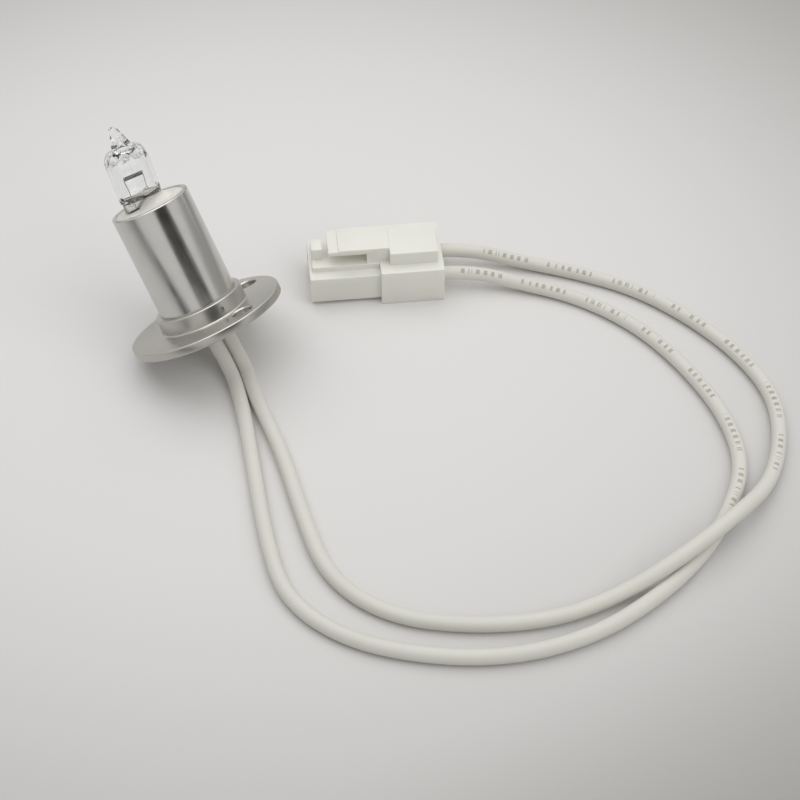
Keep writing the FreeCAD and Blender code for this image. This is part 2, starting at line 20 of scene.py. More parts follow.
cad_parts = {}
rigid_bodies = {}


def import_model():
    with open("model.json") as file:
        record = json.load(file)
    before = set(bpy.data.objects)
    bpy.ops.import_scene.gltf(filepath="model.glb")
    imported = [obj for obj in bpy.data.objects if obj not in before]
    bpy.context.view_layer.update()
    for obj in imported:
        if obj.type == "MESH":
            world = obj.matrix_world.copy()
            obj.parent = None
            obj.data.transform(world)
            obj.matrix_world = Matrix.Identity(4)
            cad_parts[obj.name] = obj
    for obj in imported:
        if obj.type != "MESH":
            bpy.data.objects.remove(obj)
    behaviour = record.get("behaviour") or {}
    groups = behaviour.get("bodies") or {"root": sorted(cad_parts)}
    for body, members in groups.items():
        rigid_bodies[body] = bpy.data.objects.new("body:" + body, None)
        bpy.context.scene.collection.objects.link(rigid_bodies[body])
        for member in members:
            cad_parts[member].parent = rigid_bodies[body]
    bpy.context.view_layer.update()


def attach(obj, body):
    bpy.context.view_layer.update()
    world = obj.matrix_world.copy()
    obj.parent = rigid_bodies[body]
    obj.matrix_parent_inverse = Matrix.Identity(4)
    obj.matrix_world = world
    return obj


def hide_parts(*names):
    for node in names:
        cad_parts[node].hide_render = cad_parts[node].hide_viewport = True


LOG = logging.getLogger("halogen_lamp")
MM = 0.001
MERGE = 1e-7          # points closer than this, in metres, become one
LEVEL = 0.02          # faces within this angle, in radians, count as one flat face
BEVELLED = 40.0       # edges sharper than this, in degrees, are rounded
CLEAR = 0.5           # how far a cutting tool stands past what it cuts
Colour = tuple[float, float, float]
Array = np.ndarray


# ---------------------------------------------------------------- placement

def unit(v: Sequence[float]) -> Array:
    """A vector divided by its length."""
    v = np.asarray(v, float)
    return v / np.linalg.norm(v)


def turn_about(axis: Sequence[float], degrees: float) -> Array:
    """Rotation matrix about an axis, by Rodrigues' formula: I + sin K + (1 - cos) K K.

    Args:
        axis: direction of the axis, of any length.
        degrees: the turn, anticlockwise seen from the axis's tip.

    Returns:
        The 3 by 3 matrix.
    """
    x, y, z = unit(axis)
    k = np.array([[0, -z, y], [z, 0, -x], [-y, x, 0]])
    a = np.radians(degrees)
    return np.eye(3) + np.sin(a) * k + (1 - np.cos(a)) * (k @ k)


@dataclass(frozen=True)
class Pose:
    """Rigid placement in millimetres: the columns of turn are the local axes."""

    turn: Array
    at: Array

    def place(self, points: Array) -> Array:
        """Local points carried into the parent's frame."""
        return np.asarray(points, float) @ self.turn.T + self.at

    def within(self, parent: "Pose") -> "Pose":
        """This placement carried into the frame that the parent lies in."""
        return Pose(parent.turn @ self.turn, parent.place(self.at))

    def mapping(self) -> dict[str, tuple[float, ...]]:
        """Settings of a Mapping node that turns object coordinates into local metres.

        Returns:
            Its location and rotation, by socket.
        """
        back = self.turn.T
        angles = Matrix(back.tolist()).to_euler("XYZ")
        return {"Location": tuple(float(v) for v in -back @ self.at * MM), "Rotation": tuple(angles)}


def clock(angle: float, radius: float, height: float = 0.0) -> Array:
    """Point round the lamp's axis; angle zero is the lowest point of the flange's rim."""
    a = np.radians(angle)
    return np.array([-np.sin(a) * radius, np.cos(a) * radius, height])


# ---------------------------------------------------------------- surfaces

@dataclass
class Patch:
    """Points, quads and optional UVs of one worked-out surface."""

    points: Array
    quads: Array
    uv: Array | None = None

    def placed(self, pose: Pose) -> "Patch":
        """The patch carried by a pose."""
        return Patch(pose.place(self.points), self.quads, self.uv)

    def flipped(self) -> "Patch":
        """The patch with its faces turned over."""
        return Patch(self.points, self.quads[:, ::-1], self.uv)


def grid_patch(grid: Array, close_rows: bool = False, close_columns: bool = True,
               uv: Array | None = None) -> Patch:
    """Quads over a grid of points.

    Args:
        grid: points of shape (rows, columns, 3); faces point out where rows climb and columns run
            anticlockwise.
        close_rows: joins the last row to the first.
        close_columns: joins the last column to the first.
        uv: UVs of shape (rows, columns, 2).

    Returns:
        The patch, with each quad (i, j), (i, j+1), (i+1, j+1), (i+1, j).
    """
    rows, columns = grid.shape[:2]
    i = np.arange(rows if close_rows else rows - 1)
    j = np.arange(columns if close_columns else columns - 1)
    ii, jj = (m.ravel() for m in np.meshgrid(i, j, indexing="ij"))
    up, on = (ii + 1) % rows, (jj + 1) % columns
    quads = np.stack([ii * columns + jj, ii * columns + on, up * columns + on, up * columns + jj], axis=1)
    return Patch(grid.reshape(-1, 3), quads, None if uv is None else uv.reshape(-1, 2))


def lathe(profile: Array, sides: int, close: bool = False) -> Patch:
    """Surface of revolution: x = r cos t, y = r sin t.

    Args:
        profile: rows of radius and height.
        sides: points round the circle.
        close: joins the profile's last row to its first.

    Returns:
        The profile carried round Z.
    """
    t = np.linspace(0, 2 * np.pi, sides, endpoint=False)
    r, h = np.asarray(profile, float).T
    grid = np.stack([r[:, None] * np.cos(t), r[:, None] * np.sin(t), np.repeat(h[:, None], sides, 1)], axis=2)
    return grid_patch(grid, close_rows=close)


def eased(corners: Sequence[tuple[float, float, float]], steps: int = 5) -> Array:
    """Closed outline with each corner rounded by its own radius.

    Args:
        corners: (x, y, radius) of each corner, in order.
        steps: points along each arc.

    Returns:
        Points (n, 2).  An arc touches both sides at radius times the tangent of half the turn.
    """
    pts = np.array([c[:2] for c in corners], float)
    out: list[Array] = []
    for i, (here, (_, _, radius)) in enumerate(zip(pts, corners)):
        u, v = unit(pts[i - 1] - here), unit(pts[(i + 1) % len(pts)] - here)
        if radius <= 0:
            out.append(here[None])
            continue
        half = np.arccos(np.clip(u @ v, -1, 1)) / 2
        centre = here + unit(u + v) * radius / np.sin(half)
        a, b = here + u * radius / np.tan(half), here + v * radius / np.tan(half)
        s = np.linspace(0, 1, steps)[:, None]
        chord = (a - centre) * (1 - s) + (b - centre) * s
        out.append(centre + chord / np.linalg.norm(chord, axis=1, keepdims=True) * radius)
    return np.concatenate(out)


def superellipse(half_x: Array, half_y: Array, power: Array, count: int) -> Array:
    """Outlines |x/a|^p + |y/b|^p = 1.

    Args:
        half_x: a of each row.
        half_y: b of each row.
        power: p of each row; 2 is an ellipse, and more is squarer.
        count: points round each outline.

    Returns:
        Points (rows, count, 2).
    """
    t = np.linspace(0, 2 * np.pi, count, endpoint=False)
    c, s = np.cos(t)[None], np.sin(t)[None]
    e = 2 / np.asarray(power, float)[:, None]
    x = np.asarray(half_x)[:, None] * np.sign(c) * np.abs(c) ** e
    y = np.asarray(half_y)[:, None] * np.sign(s) * np.abs(s) ** e
    return np.stack([x, y], axis=2)


def tube(path: Array, radius: float | Array, sides: int, reference: Sequence[float]) -> Patch:
    """Round bar along a path, its ends closed.

    The ring at each point stands square to the path, and its zero angle lies on the side of the
    reference direction, so a mark at one angle keeps facing that way.

    Args:
        path: points (n, 3).
        radius: one radius, or one per point.
        sides: points round the ring.
        reference: direction that the zero angle faces.

    Returns:
        The bar; its U is the share of the turn, and its V the length along the path.
    """
    along = np.gradient(path, axis=0)
    along /= np.linalg.norm(along, axis=1, keepdims=True)
    side = np.asarray(reference, float) - along * (along @ np.asarray(reference, float))[:, None]
    side /= np.linalg.norm(side, axis=1, keepdims=True)
    over = np.cross(along, side)
    t = np.linspace(0, 2 * np.pi, sides + 1)
    cos_t, sin_t = np.cos(t)[None, :, None], np.sin(t)[None, :, None]
    r = np.broadcast_to(np.asarray(radius, float), (len(path),))[:, None, None]
    ring = path[:, None] + r * (cos_t * side[:, None] + sin_t * over[:, None])
    ends = [np.repeat(path[k][None, None], sides + 1, 1) for k in (0, -1)]
    grid = np.concatenate([ends[0], ring, ends[1]])
    reach = run_length(path)
    reach = np.concatenate([reach[:1], reach, reach[-1:]])
    uv = np.stack(np.broadcast_arrays(t[None] / (2 * np.pi), reach[:, None]), axis=2)
    return grid_patch(grid, close_columns=False, uv=uv)


def run_length(path: Array) -> Array:
    """Length of a path from its start to each of its points."""
    return np.concatenate([[0], np.cumsum(np.linalg.norm(np.diff(path, axis=0), axis=1))])


@dataclass
class CellBlock:
    """Square-cornered solid made of the cells between all the planes of its boxes."""

    boxes: list[tuple[bool, tuple[float, float, float, float, float, float]]] = field(default_factory=list)

    def add(self, *box: float) -> None:
        """Adds the box x0, x1, y0, y1, z0, z1."""
        self.boxes.append((True, box))

    def cut(self, *box: float) -> None:
        """Takes the box x0, x1, y0, y1, z0, z1 away."""
        self.boxes.append((False, box))

    def patch(self) -> Patch:
        """Walls between filled and empty cells, each facing the empty side.

        The boxes fill or clear the cells in the order in which they came.

        Returns:
            The walls, one quad for each pair of a filled and an empty cell.
        """
        planes = [np.unique([v for _, b in self.boxes for v in b[2 * a:2 * a + 2]]) for a in range(3)]
        mids = np.meshgrid(*[(p[1:] + p[:-1]) / 2 for p in planes], indexing="ij")
        full = np.zeros(mids[0].shape, bool)
        for keep, b in self.boxes:
            inside = np.logical_and.reduce([(m > b[2 * a]) & (m < b[2 * a + 1]) for a, m in enumerate(mids)])
            full[inside] = keep
        points, quads = [], []
        for a in range(3):
            b, c = (a + 1) % 3, (a + 2) % 3
            pad = [(1, 1) if k == a else (0, 0) for k in range(3)]
            step = np.diff(np.pad(full, pad).astype(int), axis=a)
            for sign in (-1, 1):
                cells = np.argwhere(step == -sign)
                square = np.array([(0, 0), (1, 0), (1, 1), (0, 1)])[::sign]
                corner = np.zeros((len(cells), 4, 3))
                corner[:, :, a] = planes[a][cells[:, a]][:, None]
                corner[:, :, b] = planes[b][cells[:, b, None] + square[None, :, 0]]
                corner[:, :, c] = planes[c][cells[:, c, None] + square[None, :, 1]]
                start = sum(len(p) for p in points)
                points.append(corner.reshape(-1, 3))
                quads.append(start + np.arange(len(cells) * 4).reshape(-1, 4))
        return Patch(np.concatenate(points), np.concatenate(quads))


# ---------------------------------------------------------------- objects

def mesh_of(name: str, patches: Sequence[Patch], flat: bool = False) -> bpy.types.Mesh:
    """Mesh in metres from patches in millimetres, with doubles merged.

    Args:
        name: the mesh's name.
        patches: surfaces to join.
        flat: merges coplanar faces, for square-cornered solids.

    Returns:
        The mesh, with a UV map where every patch has UVs.
    """
    starts = np.cumsum([0] + [len(p.points) for p in patches])
    points = np.concatenate([p.points for p in patches]) * MM
    quads = np.concatenate([p.quads + s for p, s in zip(patches, starts)])
    mesh = bpy.data.meshes.new(name)
    mesh.vertices.add(len(points))
    mesh.vertices.foreach_set("co", points.ravel())
    mesh.loops.add(quads.size)
    mesh.loops.foreach_set("vertex_index", quads.ravel().astype(np.int32))
    mesh.polygons.add(len(quads))
    mesh.polygons.foreach_set("loop_start", np.arange(0, quads.size, 4, dtype=np.int32))
    mesh.update(calc_edges=True)
    if all(p.uv is not None for p in patches):
        uv = np.concatenate([p.uv for p in patches])
        mesh.uv_layers.new(name="UVMap").data.foreach_set("uv", uv[quads.ravel()].ravel())
    work = bmesh.new()
    work.from_mesh(mesh)
    bmesh.ops.remove_doubles(work, verts=work.verts, dist=MERGE)
    if flat:
        bmesh.ops.dissolve_limit(work, angle_limit=LEVEL, verts=work.verts, edges=work.edges)
    work.to_mesh(mesh)
    work.free()
    mesh.validate()
    return mesh


def bake_modifiers(piece: bpy.types.Object) -> None:
    """Puts what the modifiers make into the mesh and removes them.

    Args:
        piece: the object, which gets a new mesh.
    """
    graph = bpy.context.evaluated_depsgraph_get()
    mesh = bpy.data.meshes.new_from_object(piece.evaluated_get(graph))
    piece.modifiers.clear()
    piece.data = mesh


def put(name: str, mesh: bpy.types.Mesh) -> bpy.types.Object:
    """New object at the origin that shows a mesh.

    Args:
        name: the object's name.
        mesh: its mesh, with its place in it.

    Returns:
        The object, in the scene.
    """
    piece = bpy.data.objects.new(name, mesh)
    bpy.context.scene.collection.objects.link(piece)
    return piece


def carve(piece: bpy.types.Object, tools: Sequence[Patch]) -> None:
    """Cuts closed patches out of a piece.

    Args:
        piece: the object to cut.
        tools: closed surfaces in the piece's own millimetres.
    """
    cutter = put("cutter", mesh_of("cutter", tools))
    change = piece.modifiers.new("carve", "BOOLEAN")
    change.operation, change.solver, change.object = "DIFFERENCE", "EXACT", cutter
    bake_modifiers(piece)
    bpy.data.objects.remove(cutter)


def carry(mesh: bpy.types.Mesh, pose: Pose) -> None:
    """Moves a mesh from its local frame into the frame of the solids.

    Args:
        mesh: the mesh, in metres.
        pose: where its local frame lies, in millimetres.
    """
    points = np.empty(len(mesh.vertices) * 3)
    mesh.vertices.foreach_get("co", points)
    mesh.vertices.foreach_set("co", (pose.place(points.reshape(-1, 3) / MM) * MM).ravel())
    mesh.update()


def soften(mesh: bpy.types.Mesh, sharp_degrees: float = 35.0) -> None:
    """Smooth shading, with edges sharper than an angle kept sharp."""
    mesh.shade_smooth()
    mesh.set_sharp_from_angle(angle=np.radians(sharp_degrees))


def round_edges(piece: bpy.types.Object, width: float, segments: int) -> None:
    """Adds a bevel to the sharp edges.

    Args:
        piece: the object.
        width: the bevel's width, in millimetres.
        segments: faces across it.
    """
    change = piece.modifiers.new("edges", "BEVEL")
    change.width, change.segments = width * MM, segments
    change.limit_method, change.angle_limit = "ANGLE", np.radians(BEVELLED)
    change.harden_normals = True


def fit_on(piece: bpy.types.Object, material: bpy.types.Material, slot: str,
           *nodes: str) -> bpy.types.Object:
    """Dresses a piece, sets it on the body and in place of its solids, and reports it.

    Args:
        piece: the object.
        material: its finish.
        slot: the record's material slot that the finish belongs to; not used.
        nodes: the solids that it stands for.

    Returns:
        The piece.
    """
    piece.data.materials.clear()
    piece.data.materials.append(material)
    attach(piece, "root")
    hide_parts(*nodes)
    LOG.info("%s: %d faces, stands for %s", piece.name, len(piece.data.polygons), ", ".join(nodes))
    return piece


# ---------------------------------------------------------------- shader maths

class Wire:
    """A shader socket that Python's operators work on; each adds one Math node."""

    def __init__(self, graph: "Graph", socket: bpy.types.NodeSocket | None) -> None:
        """Wraps one output socket of a graph's node."""
        self.graph, self.socket = graph, socket

    def _math(self, operation: str, *values: "Wire | float") -> "Wire":
        """Math node on this socket and others."""
        return self.graph.node("ShaderNodeMath", {"operation": operation}, dict(enumerate(values)))

    def __add__(self, other: "Wire | float") -> "Wire":
        """Sum."""
        return self._math("ADD", self, other)

    def __sub__(self, other: "Wire | float") -> "Wire":
        """Difference."""
        return self._math("SUBTRACT", self, other)

    def __rsub__(self, other: "Wire | float") -> "Wire":
        """Difference from a number."""
        return self._math("SUBTRACT", other, self)

    def __mul__(self, other: "Wire | float") -> "Wire":
        """Product."""
        return self._math("MULTIPLY", self, other)

    def __truediv__(self, other: "Wire | float") -> "Wire":
        """Quotient."""
        return self._math("DIVIDE", self, other)

    def __rtruediv__(self, other: "Wire | float") -> "Wire":
        """Quotient of a number and this."""
        return self._math("DIVIDE", other, self)

    def __lt__(self, other: "Wire | float") -> "Wire":
        """One where this is less."""
        return self._math("LESS_THAN", self, other)

    def __gt__(self, other: "Wire | float") -> "Wire":
        """One where this is greater."""
        return self._math("GREATER_THAN", self, other)

    def __mod__(self, other: "Wire | float") -> "Wire":
        """Floored remainder."""
        return self._math("FLOORED_MODULO", self, other)

    def __pow__(self, other: "Wire | float") -> "Wire":
        """Power."""
        return self._math("POWER", self, other)

    def __abs__(self) -> "Wire":
        """Absolute value."""
        return self._math("ABSOLUTE", self)

    __radd__ = __add__
    __rmul__ = __mul__


class Graph:
    """Node graph of one material, or of the world."""

    def __init__(self, owner: bpy.types.Material | bpy.types.World) -> None:
        """Starts an empty graph.

        Args:
            owner: the material or world that it belongs to.
        """
        owner.use_nodes = True
        self.owner, self.tree = owner, owner.node_tree
        self.tree.nodes.clear()

    def node(self, kind: str, settings: dict[str, object] | None = None,
             values: dict[str | int, object] | None = None, output: str | int = 0) -> Wire:
        """Adds a node.

        Args:
            kind: the node's type.
            settings: its properties, set first; "stops" are a ramp's (position, colour) pairs.
            values: numbers, colours or wires by socket identifier, name or index.
            output: which output comes back.

        Returns:
            That output, or an empty wire from a node that has none.
        """
        made = self.tree.nodes.new(kind)
        for key, value in (settings or {}).items():
            if key == "stops":
                ramp = made.color_ramp
                while len(ramp.elements) < len(value):
                    ramp.elements.new(0.5)
                for element, (position, colour) in zip(ramp.elements, value):
                    element.position, element.color = position, (*colour, 1)
            else:
                setattr(made, key, value)
        for key, value in (values or {}).items():
            socket = self._socket(made.inputs, key)
            if isinstance(value, Wire):
                self.tree.links.new(value.socket, socket)
            elif isinstance(value, tuple) and len(value) == 3 and socket.type == "RGBA":
                socket.default_value = (*value, 1)
            else:
                socket.default_value = value
        return Wire(self, self._socket(made.outputs, output) if len(made.outputs) else None)

    @staticmethod
    def _socket(sockets: bpy.types.NodeInputs, key: str | int) -> bpy.types.NodeSocket:
        """Finds a socket.

        Args:
            sockets: a node's inputs or outputs.
            key: its index, identifier or name.

        Returns:
            The socket.
        """
        if isinstance(key, int):
            return sockets[key]
        for socket in sockets:
            if socket.identifier == key:
                return socket
        return sockets[key]

    def split(self, vector: Wire) -> tuple[Wire, Wire, Wire]:
        """Takes a vector apart.

        Args:
            vector: the vector.

        Returns:
            Its three parts.
        """
        first = self.node("ShaderNodeSeparateXYZ", None, {"Vector": vector})
        outs = first.socket.node.outputs
        return Wire(self, outs[0]), Wire(self, outs[1]), Wire(self, outs[2])

    def place(self) -> Wire:
        """Object coordinates, which are metres in the frame of the solids."""
        return self.node("ShaderNodeTexCoord", None, None, "Object")

    def local(self, pose: Pose) -> Wire:
        """Object coordinates turned into a pose's own metres."""
        return self.node("ShaderNodeMapping", {"vector_type": "POINT"},
                         {"Vector": self.place(), **pose.mapping()})

    def noise(self, vector: Wire | None, scale: float, detail: float = 3.0, rough: float = 0.5,
              along: Wire | None = None) -> Wire:
        """Noise from 0 to 1.

        Args:
            vector: where it is read; None where it runs along one number.
            scale: its waves per unit.
            detail: how many finer layers lie on it.
            rough: how strong each finer layer is.
            along: the number that it runs along.

        Returns:
            The noise.
        """
        kind, place = ("3D", {"Vector": vector}) if along is None else ("1D", {"W": along})
        return self.node("ShaderNodeTexNoise", {"noise_dimensions": kind},
                         {**place, "Scale": scale, "Detail": detail, "Roughness": rough}, "Fac")

    def blend(self, a: Colour | Wire, b: Colour | Wire, share: Wire | float) -> Wire:
        """Colour between two, by a share."""
        return self.node("ShaderNodeMix", {"data_type": "RGBA"},
                         {"Factor_Float": share, "A_Color": a, "B_Color": b}, "Result_Color")

    def bump(self, height: Wire, distance: float, strength: float = 1.0) -> Wire:
        """Normal from a height, with the distance in millimetres."""
        return self.node("ShaderNodeBump", None,
                         {"Strength": strength, "Distance": distance * MM, "Height": height}, "Normal")

    def surface(self, **sockets: object) -> None:
        """Principled surface to the output.

        Args:
            sockets: its values or wires by socket name, with underscores for the spaces.
        """
        names = {key.replace("_", " "): value for key, value in sockets.items()}
        shader = self.node("ShaderNodeBsdfPrincipled", None, names)
        self.node("ShaderNodeOutputMaterial", None, {"Surface": shader})


class Grain(Enum):
    """Direction of the fine tool marks on a metal."""

    RINGS = "turned face"
    STREAKS = "drawn tube"
    NONE = "drawn wire"


@dataclass(frozen=True)
class Metal:
    """Bare metal with tool marks and slightly uneven polish."""

    name: str
    colour: Colour
    roughness: float
    grain: Grain = Grain.NONE
    pose: Pose | None = None
    marks: float = 0.002
    mottle: float = 0.06
    worn: float = 0.90
    cloud_scale: float = 260.0
    fine_scale: float = 5200.0
    ring_scale: float = 9000.0
    streak_scale: float = 2400.0
    streak_stretch: float = 0.025

    def dress(self) -> bpy.types.Material:
        """Clouds dull the polish; rings follow the radius, and streaks the axis of a tube.

        Returns:
            The material, with marks in its bump and its roughness.
        """
        graph = Graph(bpy.data.materials.new(self.name))
        place = graph.local(self.pose) if self.pose else graph.place()
        cloud = graph.noise(place, self.cloud_scale, 4.0, 0.6)
        colour = graph.blend(self.colour, tuple(c * self.worn for c in self.colour), cloud)
        rough = self.roughness + (cloud - 0.5) * self.mottle
        height = graph.noise(place, self.fine_scale, 2.0)
        if self.grain is not Grain.NONE:
            if self.grain is Grain.RINGS:
                x, y, _ = graph.split(place)
                lines = graph.noise(None, self.ring_scale, 3.0, 0.65, along=(x * x + y * y) ** 0.5)
            else:
                drawn = graph.node("ShaderNodeMapping", {"vector_type": "POINT"},
                                   {"Vector": place, "Scale": (1.0, 1.0, self.streak_stretch)})
                lines = graph.noise(drawn, self.streak_scale, 3.0, 0.65)
            height = lines * 0.7 + height * 0.3
            rough = rough + (lines - 0.5) * (self.mottle * 0.8)
        graph.surface(Base_Color=colour, Metallic=1.0, Roughness=rough, Normal=graph.bump(height, self.marks))
        return graph.owner


@dataclass(frozen=True)
class Quartz:
    """Clear fused quartz, rippled where the flame closed the dome."""

    pose: Pose
    worked: float = 9.6
    name: str = "quartz"
    colour: Colour = (0.985, 0.992, 0.99)
    index: float = 1.458
    change: float = 0.8
    wave_scale: float = 420.0
    wave_share: float = 0.12
    ripple_scale: float = 1500.0
    ripple_depth: float = 0.05

    def dress(self) -> bpy.types.Material:
        """Faint waves everywhere, and fine ripples above the height that the flame worked.

        Returns:
            The material, a clear refracting glass.
        """
        graph = Graph(bpy.data.materials.new(self.name))
        place = graph.local(self.pose)
        height = graph.split(place)[2]
        share = graph.node("ShaderNodeMapRange", {"clamp": True}, {
            "Value": height, "From Min": self.worked * MM, "From Max": (self.worked + self.change) * MM})
        waves = graph.noise(place, self.wave_scale, 2.0)
        ripples = graph.noise(place, self.ripple_scale, 3.0, 0.6)
        graph.surface(Base_Color=self.colour, Roughness=0.0, IOR=self.index, Transmission_Weight=1.0,
                      Normal=graph.bump(waves * self.wave_share + ripples * share, self.ripple_depth, 0.5))
        return graph.owner


@dataclass(frozen=True)
class Cast:
    """Cement or fired ceramic: cream, dry and finely pitted."""

    name: str
    colour: Colour
    stain: Colour
    grit: float = 0.05
    cloud_scale: float = 380.0
    pit_scale: float = 3600.0
    roughness: float = 0.82

    def dress(self) -> bpy.types.Material:
        """A cloudy stain, fine pits and a coarse unevenness.

        Returns:
            The material.
        """
        graph = Graph(bpy.data.materials.new(self.name))
        place = graph.place()
        cloud = graph.noise(place, self.cloud_scale, 4.0, 0.6)
        pits = graph.noise(place, self.pit_scale, 3.0, 0.7)
        colour = graph.blend(self.colour, self.stain, cloud * 0.6 + pits * 0.25)
        graph.surface(Base_Color=colour, Roughness=self.roughness + (pits - 0.5) * 0.2,
                      Normal=graph.bump(pits * 0.7 + cloud * 0.5, self.grit))
        return graph.owner


@dataclass(frozen=True)
class Nylon:
    """Natural moulded nylon, slightly waxy and translucent."""

    name: str = "nylon"
    colour: Colour = (0.80, 0.79, 0.735)
    deep: Colour = (0.765, 0.745, 0.66)
    cloud_scale: float = 170.0
    texture_scale: float = 4200.0
    texture_depth: float = 0.006
    roughness: float = 0.42
    glow_depth: float = 1.2

    def dress(self) -> bpy.types.Material:
        """Soft clouding from the mould and a fine spark-eroded texture.

        Returns:
            The material, which lets a little light through its edges.
        """
        graph = Graph(bpy.data.materials.new(self.name))
        place = graph.place()
        cloud = graph.noise(place, self.cloud_scale, 3.0)
        fine = graph.noise(place, self.texture_scale, 2.0)
        graph.surface(Base_Color=graph.blend(self.colour, self.deep, cloud * 0.6),
                      Roughness=self.roughness + (fine - 0.5) * 0.12, Subsurface_Weight=0.35,
                      Subsurface_Radius=(1.0, 0.9, 0.6), Subsurface_Scale=self.glow_depth * MM, IOR=1.5,
                      Normal=graph.bump(fine, self.texture_depth))
        return graph.owner


@dataclass(frozen=True)
class Jacket:
    """Soft lead insulation with groups of plain worn ticks along one side, by the piece's own UVs.

    U is the share of the turn and V the length in millimetres, in which pitch, group and marked are given.
    """

    name: str
    colour: Colour = (0.70, 0.685, 0.625)
    dust: Colour = (0.64, 0.62, 0.56)
    ink: Colour = (0.27, 0.235, 0.20)
    pitch: float = 1.7
    group: float = 15.0
    group_share: float = 0.72
    mark_half: float = 0.055
    marked: tuple[float, float] = (0.0, 0.0)
    smudge_scale: float = 90.0
    skin_scale: float = 3000.0
    skin_depth: float = 0.015
    roughness: float = 0.55
    glow_depth: float = 0.8

    def dress(self) -> bpy.types.Material:
        """Matt jacket, light smudges, and ticks that are missing or faint where they are worn.

        Returns:
            The material.
        """
        graph = Graph(bpy.data.materials.new(self.name))
        u, v, _ = graph.split(graph.node("ShaderNodeTexCoord", None, None, "UV"))
        place = graph.place()
        smudge = graph.noise(place, self.smudge_scale, 4.0, 0.6)
        fine = graph.noise(place, self.skin_scale, 2.0)
        side = abs((u + 0.5) % 1.0 - 0.5) < self.mark_half
        tick = (v % self.pitch) < self.pitch * 0.5
        worn = graph.noise(None, 0.9, 2.0, along=v) > 0.42
        between = (v % self.group) < self.group * self.group_share
        stretch = (v > self.marked[0]) * (v < self.marked[1])
        faint = 0.35 + graph.noise(place, 1500.0, 2.0) * 0.5
        mark = side * tick * worn * between * stretch * faint
        jacket = graph.blend(self.colour, self.dust, smudge * 0.7)
        graph.surface(Base_Color=graph.blend(jacket, self.ink, mark),
                      Roughness=self.roughness + (smudge - 0.5) * 0.16, Subsurface_Weight=0.12,
                      Subsurface_Radius=(1.0, 0.9, 0.75), Subsurface_Scale=self.glow_depth * MM,
                      Normal=graph.bump(fine * 0.5 + smudge * 0.5, self.skin_depth))
        return graph.owner


@dataclass(frozen=True)
class Sleeving:
    """Braided glass-fibre sleeve."""

    pose: Pose
    name: str = "sleeve"
    colour: Colour = (0.80, 0.78, 0.72)
    strands: float = 9000.0
    depth: float = 0.08

    def dress(self) -> bpy.types.Material:
        """Two crossed waves, sin(k (x + z)) times sin(k (y - z)), stand for the braid.

        Returns:
            The material.
        """
        graph = Graph(bpy.data.materials.new(self.name))
        x, y, z = graph.split(graph.local(self.pose))
        weave = graph.node("ShaderNodeMath", {"operation": "SINE"}, {0: (x + z) * self.strands})
        cross = graph.node("ShaderNodeMath", {"operation": "SINE"}, {0: (y - z) * self.strands})
        braid = weave * cross * 0.5 + 0.5
        graph.surface(Base_Color=graph.blend(self.colour, tuple(c * 0.8 for c in self.colour), braid),
                      Roughness=0.75 + braid * 0.1, Normal=graph.bump(braid, self.depth))
        return graph.owner


# ---------------------------------------------------------------- the lamp

@dataclass
class LampFrame:
    """Where the lamp lies: on the lower edge of its flange, leaning toward +Y."""

    lean: float = 33.0
    shift_y: float = -5.7
    flange_r: float = 17.0
    flange_edge: float = 0.35

    def pose(self) -> Pose:
        """Frame with its origin under the flange and z up the lamp's axis."""
        height = (self.flange_r - self.flange_edge) * np.sin(np.radians(self.lean))
        return Pose(turn_about((1, 0, 0), -self.lean), np.array([0.0, self.shift_y, height]))


